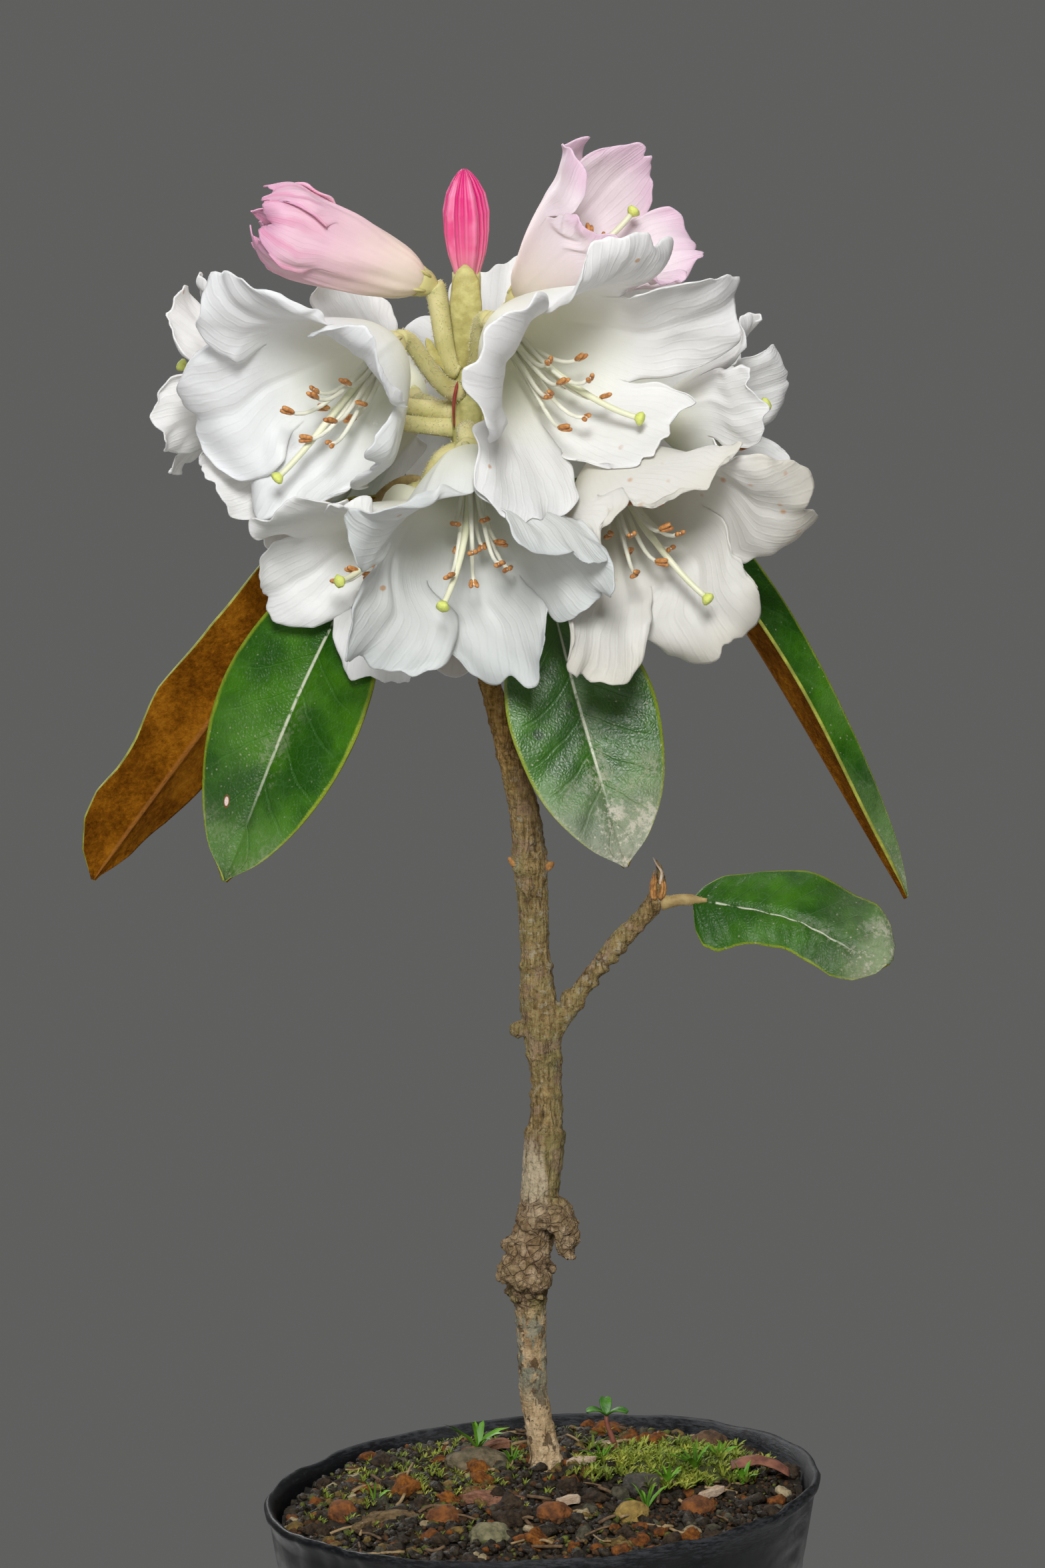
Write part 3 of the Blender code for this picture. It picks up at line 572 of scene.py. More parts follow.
def petal_paint(name, face, base, edge, flush=None, spot_gap=9.0, spot_size=0.095):
    """Thin petal: paler or greener at its base, tinted at its edge, finely veined and rarely spotted."""
    paint = Paint(name, Subsurface_Weight=0.35, Subsurface_Radius=(1.0, 0.9, 0.85), Subsurface_Scale=0.0016,
                  Specular_IOR_Level=0.3)
    across_petal, along_petal = paint.uv("X"), paint.uv("Y")
    drift = paint.cloud(7.0, 2.0)

    def stripes(count, wander, low):
        return paint.step(paint.math("SINE", across_petal * count + drift * wander), low, 1.0)

    veins = stripes(95.0, 8.0, 0.55) * paint.step(along_petal, 0.1, 0.6)
    pleats = stripes(170.0, 11.0, -0.4) * paint.step(along_petal, 0.45, 0.95)
    pleats = pleats * paint.patches(0.42, 0.62, 11.0, 2.0)
    shade = tuple(value * 0.86 for value in face)
    colour = paint.layers(base, (paint.step(along_petal + drift * 0.12, 0.12, 0.42), face),
                          (paint.step(along_petal + drift * 0.2, 0.72, 1.12), edge),
                          (veins * paint.cloud(9.0, 2.0) * 0.26, shade), (pleats * 0.1, shade))
    if flush:
        streaks = stripes(19.0, 5.0, 0.1) * paint.step(along_petal, 0.3, 0.75)
        colour = paint.blend(streaks * 0.55, colour, flush)
    spots = paint.step(paint.cells(spot_gap), spot_size, 0.045) * paint.patches(0.52, 0.58, 16.0, 1.0)
    colour = paint.blend(spots * 0.75, colour, (0.55, 0.27, 0.1))
    return paint.finished(colour, 0.42 + 0.2 * paint.cloud(3.0),
                          veins * 0.26 + pleats * 0.22 + paint.cloud(1.6, 3.0) * 0.6, PETAL_RELIEF)


def plain_paint(name, light, dark, size, roughness, depth, **constants):
    """Blotched matt finish with relief."""
    paint = Paint(name, **constants)
    colour = paint.blend(paint.patches(0.3, 0.7, size, 4.0, 0.6), dark, light)
    return paint.finished(colour, roughness, paint.cloud(size * 0.45, 4.0, 0.6), depth)


def bloom_axes(facing, roll):
    """Right, up and forward directions of a bloom."""
    forward = unit(facing)
    up = unit(np.array((0.0, 0.0, 1.0)) - forward * forward[2])
    right = np.cross(up, forward)
    turn = radians(roll)
    return right * cos(turn) + up * sin(turn), up * cos(turn) - right * sin(turn), forward


def flower_sites():
    """Centre and reach of every bloom and bud, which share the space of the flower head."""
    sites = {name: (np.array(mouth), reach) for name, (mouth, _, reach, _) in BLOOMS.items()}
    sites["bloom_half_open"] = (np.array(HALF_OPEN_BLOOM[0]), HALF_OPEN_BLOOM[2])
    foot, facing, length, radius = OPENING_BUD
    sites["bud_opening"] = (np.array(foot) + unit(facing) * length * 0.6, radius)
    foot, tip, radius = CLOSED_BUD
    sites["bud_closed"] = ((np.array(foot) + 2 * np.array(tip)) / 3, radius)
    return sites


def cell_walls(name):
    """Planes between a bloom and each other bloom, bud and leaf: a point and the way out."""
    sites = flower_sites()
    centre, reach = sites.pop(name)
    walls = []
    for other_name, (other, other_reach) in sites.items():
        between = other - centre
        share = 0.5 + (reach ** 2 - other_reach ** 2) / (2 * between.dot(between))
        lean = BORDER_LEAN * (((name, other_name) in IN_FRONT) - ((other_name, name) in IN_FRONT))
        walls.append((centre + between * share, unit(unit(between) + np.array((0.0, lean, 0.0)))))
    for leaf in LEAVES:
        points = points_of(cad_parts[leaf].data) / MM
        nearest = points[np.argmin(np.linalg.norm(points - centre, axis=1))]
        away = unit(nearest - centre)
        walls.append((nearest - away, away))
    return walls


def hold_back(points, walls):
    """Bring points back softly to where the petal stays clear of every neighbour."""
    kept = points
    for place, outward in walls:
        beyond = (kept - place) @ outward + PETAL_MARGIN
        near = WALL_SOFTNESS * np.logaddexp(0.0, beyond / WALL_SOFTNESS)
        kept = kept - near[:, None] * outward
    for _ in range(HOLDING_ROUNDS):
        for place, outward in walls:
            beyond = np.maximum(0.0, (kept - place) @ outward + PETAL_MARGIN)
            kept = kept - beyond[:, None] * outward
    return kept


def corolla_profile(wall, flare, curl):
    """Arc lengths from the calyx, and the radius and depth there, of a corolla seen from its side."""
    spacing = 0.25
    arcs = np.arange(0.0, wall[-1][0] + 9.0, spacing)
    free = np.maximum(0.0, arcs - TUBE_ARC) / LOBE_ARC
    angles = np.radians(np.interp(arcs, *zip(*wall)) + flare * free + curl * free ** 2.5)
    radius = CALYX_RADIUS + np.cumsum(np.sin(angles)) * spacing
    depth = np.cumsum(np.cos(angles)) * spacing
    return arcs, radius, depth


def petal(name, base, axes, scale, wall, lobe, flare, phase, habit, walls, seed, crinkle):
    """One lobe of a corolla with its fifth of the tube."""
    right, up, forward = axes
    length, overlap, curl, swing = habit
    arcs, radii, depths = corolla_profile(wall, flare, curl)
    sector = TURN / LOBES

    def rule(u, v):
        along = (v + 1) / 2
        w = np.clip((along - TUBE_SHARE) / (1 - TUBE_SHARE), 0.0, 1.0)
        sideways = u * np.sqrt(1 - w * w / 2)
        rise = w * np.sqrt(1 - u * u / 2)
        free = soft_step(w, 0.0, 0.45)
        edge = np.maximum(abs(u), w)
        rim = np.arctan2(u, w + 0.001)
        notch = NOTCH * np.exp(-(u / 0.12) ** 2) * w ** 3
        uneven = (TEETH * edge ** 8 * free * ripples(seed + 1, 0.27, rim)
                  + SCALLOPS * edge ** 4 * free * ripples(seed + 6, 0.9, rim))
        sideways = sideways * (1 + overlap * free + uneven * abs(u))
        arc = np.where(w > 0, TUBE_ARC + LOBE_ARC * length * (rise - notch + uneven * w),
                       TUBE_ARC * (along / TUBE_SHARE) ** 1.2)
        wave = RUFFLE * edge ** 3 * np.sin(RUFFLE_TURNS * u * edge + phase) * free + LOBE_STAGGER * u * free
        wave = wave - MIDLINE * np.exp(-(u / 0.1) ** 2) * soft_step(along, 0.05, 0.4)
        turn = sector * (lobe + sideways * 0.5) + pi / 2 + radians(swing) * free
        radius = np.interp(arc, arcs, radii) - wave * 0.6
        depth = np.interp(arc, arcs, depths) + wave
        around = np.outer(np.cos(turn), right) + np.outer(np.sin(turn), up)
        points = base + (around * radius[:, None] + np.outer(depth, forward)) * scale
        bound = soft_step(arc, 5.0, 12.0)[:, None]
        points = points + (hold_back(points, walls) - points) * bound
        margin = edge ** 4 * free
        pleats = soft_step(w, 0.05, 0.6) * (0.4 + 0.6 * edge ** 2) * ripples(seed + 8, 0.26, rim)
        fine = crinkle * (1.45 * margin * ripples(seed + 3, 0.75, rim, edge * 0.5) + 0.12 * pleats
                          + 0.3 * edge ** 8 * free * ripples(seed + 4, 0.45, rim, edge * 0.1)
                          + 0.34 * soft_step(along, 0.2, 0.6) * ripples(seed + 5, 0.6, u, w))
        lean = forward * 0.75 - around * 0.6
        rolled = ROLLED_MARGIN * edge ** 6 * free * (1 + 0.7 * ripples(seed + 7, 1.1, rim))
        back = -forward
        if wall is not OPEN_WALL:
            out, on = (np.interp(arc, arcs, np.gradient(course)) for course in (radii, depths))
            slope = np.arctan2(out, on)
            back = YOUNG_ROLL * (around * np.cos(slope)[:, None] - np.outer(np.sin(slope), forward))
        return points + (lean * fine[:, None] + back * rolled[:, None]) * scale

    return sheet(name, PETAL_COLUMNS, PETAL_ROWS, rule)


def corolla(name, base, axes, scale, wall, seed, walls, habits=(), crinkle=1.0):
    dice = random.Random(seed)
    flares = [dice.uniform(*LOBE_FLARE) for _ in range(LOBES)]
    phases = [dice.uniform(0, TURN) for _ in range(LOBES)]
    plain = [(dice.uniform(0.96, 1.1), dice.uniform(0.0, 0.16), dice.uniform(-8, 34), 0)
             for _ in range(LOBES)]
    habits = habits or plain
    petals = [petal(name, base, axes, scale, wall, lobe, flares[lobe], phases[lobe], habits[lobe], walls,
                    seed * 50 + lobe * 10, crinkle) for lobe in range(LOBES)]
    made = weld(join(name, petals), 0.02)
    return refine(made, "SOLIDIFY", thickness=PETAL_WALL * MM, offset=0.0)


def pedicel_course(base, forward, bow, samples=18):
    """Curve from the flower stalk to the base of a corolla."""
    away = unit((base[0] - STALK_AXIS[0], base[1] - STALK_AXIS[1], 0.0))
    share = (base[2] - LOWEST_BLOOM_BASE) / (HIGHEST_BLOOM_BASE - LOWEST_BLOOM_BASE)
    height = LOWEST_PEDICEL + share * (HIGHEST_PEDICEL - LOWEST_PEDICEL)
    start = STALK_AXIS + away * (STALK_RADIUS - 0.6) + np.array((0.0, 0.0, height))
    end = base - forward * 2.5
    pull = np.linalg.norm(base - start) * bow
    return arch(start, start + away * pull, end - forward * pull * 0.6, end, samples)


def pedicel(name, base, forward, seed, paints, bow=0.36, thickness=1.8):
    """Downy stalk, swollen at both ends, with the small calyx that holds the corolla."""
    dice = random.Random(seed)
    course = pedicel_course(base, forward, bow)
    steps = np.linspace(0.0, 1.0, len(course))
    radii = thickness + 0.5 * np.exp(-steps / 0.12) + 0.2 * soft_step(steps, 0.8, 1.0)
    heap = Heap()
    heap.add(*tube(course, radii, 14, swell=wavy(0.05, 3, 2)))
    fuzz(heap, course, radii, 620, 0.6, dice, 1)
    cup = [base + forward * depth for depth in (-3.0, -2.0, -0.9, 0.2, 1.4)]
    heap.add(*tube(cup, (1.4, 2.3, 2.9, 3.0, 2.6), 20, swell=wavy(0.07, 5)))
    side = across(forward)
    for i in range(LOBES):
        out = spoke(forward, side, TURN * i / LOBES)
        tooth = [base + out * reach + forward * rise for reach, rise in ((2.7, -0.6), (3.4, 1.2), (3.9, 2.6))]
        heap.add(*tube(tooth, (0.9, 0.8, 0.15), 7, flat=0.45))
    return dress(heap.piece(name + "_pedicel"), "stalk", *paints)


def stamens(name, base, axes, scale, seed, paints, count=10):
    """Filaments with split anthers, and the stouter style with its disc-shaped stigma."""
    right, up, forward = axes
    across_right, across_up, _ = bloom_axes(forward, 0)
    dice = random.Random(seed + 100)
    heap = Heap()
    sag = unit(np.array((0.0, 0.0, -1.0)) + forward * forward[2])
    for i in range(count):
        turn = TURN * (i + dice.uniform(-0.3, 0.3)) / count
        out = right * cos(turn) + up * sin(turn)
        length = (dice.uniform(17, 24) if i % 2 else dice.uniform(24, 31)) * scale
        spread = dice.uniform(4.0, 7.5) * scale
        foot = base + forward * 0.8 + out * 1.5
        tip = base + forward * length + out * spread + sag * 3.0 * scale
        curl = unit(forward + out * 0.5 - sag * 0.9)
        pull, push = foot + forward * length * 0.4 + sag * 1.5, tip - curl * length * 0.22 + sag
        course = arch(foot, pull, push, tip, 12)
        heap.add(*tube(course, np.linspace(0.62, 0.4, 12), 8), 0)
        way = unit(curl + across(curl) * dice.uniform(-1.2, 1.2))
        side = unit(np.cross(way, forward))
        for lobe in (-1, 1):
            centre = tip + curl * 0.3 + side * lobe * 0.47
            body = [centre + (way + side * lobe * 0.16) * t for t in (-1.4, -0.9, 0.0, 0.9, 1.4)]
            heap.add(*tube(body, (0.22, 0.46, 0.53, 0.5, 0.3), 8), 1)
        pore = [tip + curl * 0.3 - way * 0.8, tip + curl * 0.3, tip + curl * 0.3 + way * 0.8]
        heap.add(*tube(pore, (0.16, 0.26, 0.16), 6), 0)
    aside, above = STYLE_BENDS.get(name, (0, 3))
    bend = across_right * aside + across_up * above
    tip = base + (forward * 35 + bend) * scale
    course = arch(base + forward * 0.8, base + (forward * 18 + bend * 0.1 + sag * 1.5) * scale,
                  tip - (forward * 8 + bend * 0.5 - sag * 3.0) * scale, tip, 18)
    heap.add(*tube(course, np.linspace(0.8, 0.62, 18), 12), 2)
    end = unit(course[-1] - course[-2])
    knob = [tip + end * depth for depth in (-0.8, -0.1, 0.5, 1.0, 1.2)]
    heap.add(*tube(knob, (0.6, 1.2, 1.45, 1.1, 0.4), 14, swell=wavy(0.09, 5)), 3)
    return dress(heap.piece(name + "_stamens"), "petal", *paints)


def build_blooms():
    stalk_green = plain_paint("stalk_green", (0.66, 0.6, 0.3), (0.52, 0.48, 0.19), 6.0, 0.6, 0.06,
                              Subsurface_Weight=0.15, Subsurface_Scale=0.002)
    down = plain_paint("down_pale", (0.8, 0.76, 0.54), (0.72, 0.67, 0.42), 2.0, 0.6, 0.02)
    white = petal_paint("petal_white", (0.86, 0.85, 0.83), (0.8, 0.81, 0.62), (0.86, 0.85, 0.84))
    pink = petal_paint("petal_pink", (0.85, 0.71, 0.76), (0.86, 0.74, 0.62), (0.8, 0.54, 0.68))
    # The petals of bloom_front_left, bloom_front_low and bloom_right_low are greyer copies of the white:
    # painted shade for the shade on those blooms. The denser, larger brown spots on bloom_right_low are the
    # petals' own.
    lightly_shaded_white = petal_paint("petal_white_cool", (0.81, 0.82, 0.82), (0.78, 0.79, 0.66), (0.8, 0.81, 0.82))
    shaded_white = petal_paint("petal_white_thin", (0.71, 0.725, 0.7), (0.66, 0.67, 0.54), (0.62, 0.65, 0.64))
    shaded_spotted_white = petal_paint("petal_white_aged", (0.73, 0.71, 0.66), (0.62, 0.59, 0.45), (0.66, 0.62, 0.54),
                       spot_gap=5.5, spot_size=0.18)
    others = {"bloom_front_left": lightly_shaded_white, "bloom_front_low": shaded_white, "bloom_right_low": shaded_spotted_white}
    middle = (
        plain_paint("filament_white", (0.88, 0.87, 0.76), (0.84, 0.84, 0.68), 4.0, 0.45, 0.02),
        plain_paint("anther_brown", (0.74, 0.36, 0.11), (0.4, 0.13, 0.03), 0.9, 0.5, 0.12),
        plain_paint("style_green", (0.84, 0.84, 0.64), (0.78, 0.8, 0.54), 4.0, 0.45, 0.02),
        plain_paint("stigma_yellow", (0.8, 0.86, 0.22), (0.7, 0.78, 0.18), 0.7, 0.5, 0.15),
    )
    sites = [(name, *facts, OPEN_RADIUS, OPEN_WALL, seed, "petal", others.get(name, white))
             for seed, (name, facts) in enumerate(BLOOMS.items())]
    sites.append(("bloom_half_open", *HALF_OPEN_BLOOM, HALF_OPEN_RADIUS, HALF_OPEN_WALL, 20, "pink_petal",
                  pink))
    for name, mouth, facing, reach, roll, full, wall, seed, slot, paint in sites:
        scale = reach / full
        axes = bloom_axes(facing, roll)
        base = np.array(mouth) - axes[2] * MOUTH_DEPTH * min(1.0, scale)
        petals = corolla(name + "_petals", base, axes, scale, wall, seed, cell_walls(name),
                         LOBE_HABITS.get(name, ()))
        dress(petals, slot, paint, replaces=(name,))
        pedicel(name, base, axes[2], seed, (stalk_green, down))
        stamens(name, base, axes, scale, seed, middle)


def leaf_width(along):
    """Share of the half width at a share of the blade's length, drawn out to a point at the tip."""
    plain = np.maximum(0.03, np.sin(np.pi * np.clip(along, 0.0, 1.0) ** 1.25) ** 0.72)
    return plain * (1 - 0.45 * np.exp(-((1.0 - along) / 0.035) ** 2))


def vein_rows(along, distance):
    """Count of side veins up to a place, which slant and bend towards the margin."""
    return along * SIDE_VEINS - distance * VEIN_SLANT + distance * distance * VEIN_BEND


def leaf_upper(name, dust_and_sheen, dust_start, gloss, shine):
    """Glossy upper face: pale midrib, faint side veins, dust towards the tip; on leaf_front_right the dust
    also stands for painted sheen.
    """
    paint = Paint(name + "_green", Specular_IOR_Level=shine)
    along = paint.uv("Y")
    aside = MIDRIB_ASIDE.get(name, 0.0) * paint.step(along, 0.0, 0.5) * paint.step(along, 1.0, 0.85)
    side = paint.uv("X") * 2.0 - 1.0 - aside
    distance = paint.math("ABSOLUTE", side)
    margin = paint.math("ABSOLUTE", side + aside)
    drift = paint.cloud(14.0, 3.0)
    fraction = paint.math("FRACT", vein_rows(along, distance) + drift * 0.5)
    veins = paint.step(fraction, 0.06, 0.015) + paint.step(fraction, 0.94, 0.985)
    veins = veins * paint.step(distance, 0.96, 0.7)
    midrib = paint.step(distance + drift * 0.02, 0.048, 0.024) * paint.step(along + drift * 0.3, 1.05, 0.78)
    net = paint.cells(2.6, "DISTANCE_TO_EDGE")
    green = paint.layers((0.012, 0.068, 0.0006), (paint.step(drift, 0.35, 0.7), (0.046, 0.165, 0.0015)),
                         (paint.step(margin + paint.cloud(5.0) * 0.06, 0.965, 1.015), (0.25, 0.33, 0.02)),
                         (veins * 0.22, (0.07, 0.19, 0.04)),
                         (paint.step(net, 0.07, 0.0) * 0.12, (0.09, 0.22, 0.06)),
                         (midrib * paint.patches(0.36, 0.5, 3.0, 5.0, 0.7) * 0.9, (0.58, 0.62, 0.46)))
    fine = paint.cloud(1.0, 6.0, 0.75)
    mottle = paint.step(fine * 0.55 + paint.cloud(8.0, 3.0) * 0.45, 0.5, 0.6)
    patch = paint.step(along + (paint.cloud(20.0, 2.0) - 0.5) * 0.5, dust_start, dust_start + 0.3)
    specks = paint.step(paint.cells(1.7), 0.16, 0.08) * paint.patches(0.46, 0.62, 13.0, 2.0) * 0.6
    near_rib = paint.step(distance, 0.34, 0.04) * paint.step(along, 0.4, 0.75) * mottle * 0.42
    # The film is pale dust, and on leaf_front_right, where the dust amount is raised, it is also painted
    # sheen.
    dust_film_and_sheen = paint.patches(0.48, 0.75, 26.0, 2.0) * 0.1
    tip_dust = paint.step(along + (drift - 0.5) * 0.3, 0.78, 0.96) * fine * max(0.0, 0.86 - dust_start) * 2.6
    share = (patch * (0.18 + mottle * 0.5) + tip_dust + dust_film_and_sheen * fine + near_rib + specks) * dust_and_sheen
    dust_and_sheen_look = paint.blend(paint.cloud(11.0, 2.0), (0.42, 0.46, 0.38), (0.68, 0.57, 0.44))
    colour = paint.blend(share, green, dust_and_sheen_look)
    half_width = LEAVES[name][5]
    for mark_along, mark_aside, radius, rim, middle in LEAF_MARKS.get(name, ()):
        up, out = (along - mark_along) * LEAF_LENGTH, (side - mark_aside) * half_width
        away = (up * up * 0.7 + out * out) * (1 / radius ** 2)
        colour = paint.layers(colour, (paint.step(away, 1.0, 0.6), rim),
                              (paint.step(away, 0.45, 0.25), middle))
    relief = net * 0.45 + paint.cloud(2.2, 3.0) * 0.25 + paint.cells(0.75, "DISTANCE_TO_EDGE") * 0.55
    return paint.finished(colour, gloss + share * 0.5 + paint.cloud(5.0) * 0.16,
                          relief - veins * 0.35 - midrib * 0.6, LEAF_RELIEF)


def leaf_under():
    """Orange-brown felt, clotted and darker where it is rubbed."""
    paint = Paint("leaf_felt", Specular_IOR_Level=0.04)
    clumps = paint.cloud(1.3, 6.0, 0.75) * 0.55 + paint.cloud(9.0, 3.0) * 0.45
    felt = paint.ramp(clumps, (0.34, (0.09, 0.026, 0.0012)), (0.46, (0.22, 0.074, 0.003)),
                      (0.56, (0.37, 0.135, 0.007)), (0.68, (0.52, 0.22, 0.014)))
    distance = paint.math("ABSOLUTE", paint.uv("X") - 0.5) * 2.0
    felt = paint.blend(paint.step(distance, 0.06, 0.02) * 0.6, felt, (0.55, 0.22, 0.05))
    return paint.finished(felt, 0.95, paint.cloud(0.8, 5.0, 0.75), 0.8)


def leaf(name, upper, felt, margin, petiole_paint, seed):
    """Leathery blade on its stalk, by the same stations as the solid."""
    start, knee, middle, tip, facing, half_width, fold = LEAVES[name]
    course = smooth_course((start, knee, middle, tip), LEAF_ROWS // 2)
    blade = course[LEAF_ROWS // 2:]
    ways = unit(np.gradient(blade, axis=0))
    sides = unit(np.cross(ways, facing))
    outs = np.cross(sides, ways)
    lean = radians(fold)
    waves = LEAF_WAVES.get(name, 0.6)
    quilting = LEAF_QUILTING.get(name, 0.11)

    def rule(u, v):
        t = (v + 1) / 2
        row = t * (len(blade) - 1)
        low = np.minimum(row.astype(int), len(blade) - 2)
        part = (row - low)[:, None]
        centre, side, out = (rows[low] * (1 - part) + rows[low + 1] * part for rows in (blade, sides, outs))
        share = leaf_width(t)
        if name in LEAF_MARGINS:
            near, far = LEAF_MARGINS[name]
            share = np.where(u < 0, np.interp(t, *zip(*near)), np.interp(t, *zip(*far)))
        width = half_width * share * (1 + 0.025 * ripples(seed, 0.5, t))
        distance = abs(u)
        rise = distance * tan(lean) * width - 0.9 * distance ** 4 * share
        rise = rise + waves * distance ** 2 * ripples(seed + 1, 0.35, t, u * 0.15) * soft_step(t, 0.05, 0.3)
        veins = np.cos(TURN * vein_rows(t, distance))
        rise = rise - quilting * veins * soft_step(distance, 0.03, 0.3) * soft_step(distance, 1.0, 0.7)
        rib = MIDRIB_ASIDE.get(name, 0.0) * soft_step(t, 0.0, 0.5) * soft_step(t, 1.0, 0.85)
        rise = rise - 0.45 * np.exp(-((u - rib) * width / 0.9) ** 2)
        return centre + side * (width * u * cos(lean))[:, None] + out * rise[:, None]

    made = sheet(name + "_blade", LEAF_COLUMNS, LEAF_ROWS, rule)
    if points_of(made.data, "normal").mean(axis=0).dot(outs.mean(axis=0)) <= 0:
        made.data.flip_normals()
    for paint in (upper, felt, margin):
        made.data.materials.append(paint)
    refine(made, "SOLIDIFY", thickness=LEAF_WALL * MM, offset=0.0, material_offset=1, material_offset_rim=2)
    dress(made, "leaf", replaces=(name,))
    stalk = course[:LEAF_ROWS // 2 + 10]
    into_wood = stalk[0] - unit(stalk[1] - stalk[0]) * 1.2
    stalk = np.vstack((into_wood, stalk[::2]))
    steps = np.linspace(0.0, 1.0, len(stalk))
    radii = 1.25 + 0.5 * np.exp(-steps / 0.08) - 0.75 * soft_step(steps, 0.8, 1.0)
    heap = Heap()
    heap.add(*tube(stalk, radii, 12))
    fuzz(heap, stalk, radii, 120, 0.3, random.Random(seed), 0)
    dress(heap.piece(name + "_petiole"), "stalk", petiole_paint)


def build_leaves():
    felt = leaf_under()
    margin = plain_paint("leaf_margin", (0.42, 0.44, 0.06), (0.22, 0.24, 0.03), 3.0, 0.6, 0.05)
    petiole_paint = plain_paint("petiole_brown", (0.45, 0.34, 0.14), (0.3, 0.2, 0.07), 2.5, 0.7, 0.12)
    # leaf_front_right's dust amount is raised for painted sheen as well as for its real dust.
    dust_and_sheen_look = {"leaf_front_right": (1.0, 0.6, 0.36, 0.75), "leaf_side": (0.66, 0.62, 0.36, 0.28),
             "leaf_right": (0.7, 0.74, 0.4, 0.2), "leaf_front_left": (0.5, 0.8, 0.28, 0.14)}
    for i, name in enumerate(LEAVES):
        upper = leaf_upper(name, *dust_and_sheen_look.get(name, (0.45, 0.88, 0.3, 0.16)))
        leaf(name, upper, felt, margin, petiole_paint, 300 + i * 10)


def bark_paint():
    """Brown bark that is pale and flaking below, olive with lichen in the middle and ruddier above."""
    paint = Paint("bark", Specular_IOR_Level=0.2)
    height = paint.along("Z")

    def band(start, full, fading, gone, level=height):
        return paint.step(level, start, full) * paint.step(level, gone, fading)

    grain = paint.cloud(1.3, 6.0, 0.7, paint.stretched(1.0, 1.0, 0.4))
    broad = paint.cloud(7.0, 4.0, 0.6, paint.stretched(1.0, 1.0, 0.55))
    wrinkles = paint.cloud(1.1, 4.0, 0.65, paint.stretched(0.5, 0.5, 1.6))
    fibres = paint.cloud(0.9, 4.0, 0.6, paint.stretched(1.5, 1.5, 0.14))
    split = paint.cells(3.6, "DISTANCE_TO_EDGE", paint.stretched(1.0, 1.0, 0.2)) + grain * 0.12
    cracks = paint.step(split, 0.1, 0.065) * paint.patches(0.5, 0.6, 9.0, 2.0)
    brown = paint.ramp(grain * 0.5 + broad * 0.25 + wrinkles * 0.25, (0.34, (0.085, 0.05, 0.018)),
                       (0.45, (0.22, 0.145, 0.055)), (0.55, (0.41, 0.29, 0.125)), (0.66, (0.68, 0.53, 0.29)))
    middle = paint.layers(brown, (cracks * 0.6, (0.06, 0.034, 0.014)),
                          (paint.step(broad * 0.6 + wrinkles * 0.4, 0.46, 0.58) * 0.6, (0.22, 0.205, 0.075)),
                          (paint.patches(0.55, 0.63, 4.5, 4.0) * 0.5, (0.36, 0.235, 0.165)))
    tan = paint.ramp(grain * 0.4 + paint.cloud(5.0, 3.0) * 0.6, (0.38, (0.34, 0.22, 0.11)),
                     (0.5, (0.6, 0.43, 0.24)), (0.64, (0.8, 0.61, 0.38)))
    flakes = paint.patches(0.545, 0.565, 3.4, 6.0, 0.62, paint.stretched(1.0, 1.0, 0.6))
    lichen = paint.patches(0.48, 0.54, 6.0, 5.0, 0.65) * paint.step(height, 118.0, 127.0)
    tan = paint.layers(tan, (flakes * 0.85, (0.125, 0.078, 0.038)), (lichen * 0.75, (0.3, 0.31, 0.23)))
    grey = paint.patches(0.555, 0.6, 2.4, 6.0, 0.7) * band(160.0, 215.0, 255.0, 272.0)
    peeled = band(167.0, 173.0, 180.0, 187.0, height + broad * 14.0) * paint.step(grain, 0.34, 0.46)
    peeled = peeled * paint.step(paint.along("X") + broad * 12.0, 8.5, 6.0)
    upper = paint.ramp(grain * 0.6 + wrinkles * 0.4, (0.36, (0.13, 0.068, 0.014)),
                       (0.5, (0.38, 0.215, 0.05)), (0.66, (0.62, 0.4, 0.14)))
    pits = paint.patches(0.58, 0.7, 0.8, 5.0, 0.7)
    rough_bark = paint.step(height, 141.0, 150.0)
    scales = paint.step(paint.cells(2.3, "DISTANCE_TO_EDGE") + grain * 0.12, 0.16, 0.08)
    scales = scales * band(141.0, 144.0, 163.0, 170.0)
    swollen = paint.ramp(paint.cloud(2.6, 5.0, 0.7), (0.36, (0.16, 0.095, 0.05)), (0.52, (0.4, 0.27, 0.16)),
                         (0.66, (0.72, 0.54, 0.36)))
    colour = paint.layers(
        tan, (paint.step(height + broad * 16.0, 146.0, 152.0), middle), (grey * 0.5, (0.46, 0.43, 0.32)),
        (peeled * 0.8, paint.blend(grain, (0.4, 0.3, 0.18), (0.82, 0.72, 0.52))),
        (paint.step(height + broad * 30.0, 258.0, 290.0), upper), (pits * 0.4, (0.07, 0.04, 0.016)),
        (paint.step(fibres, 0.47, 0.36) * rough_bark * 0.55, (0.075, 0.044, 0.018)),
        (paint.step(fibres, 0.56, 0.68) * rough_bark * 0.35, (0.66, 0.53, 0.33)),
        (scales * 0.65, (0.075, 0.045, 0.022)), (band(143.0, 147.0, 163.0, 168.0) * 0.6, swollen))
    relief = (grain * 0.6 + wrinkles * 0.5 + fibres * 0.6 - cracks * 0.5 - pits * 0.3 - scales * 0.6
              + paint.cloud(0.6, 5.0, 0.7) * 0.5)
    return paint.finished(colour, 0.75 + paint.cloud(2.0) * 0.2, relief, 0.8)


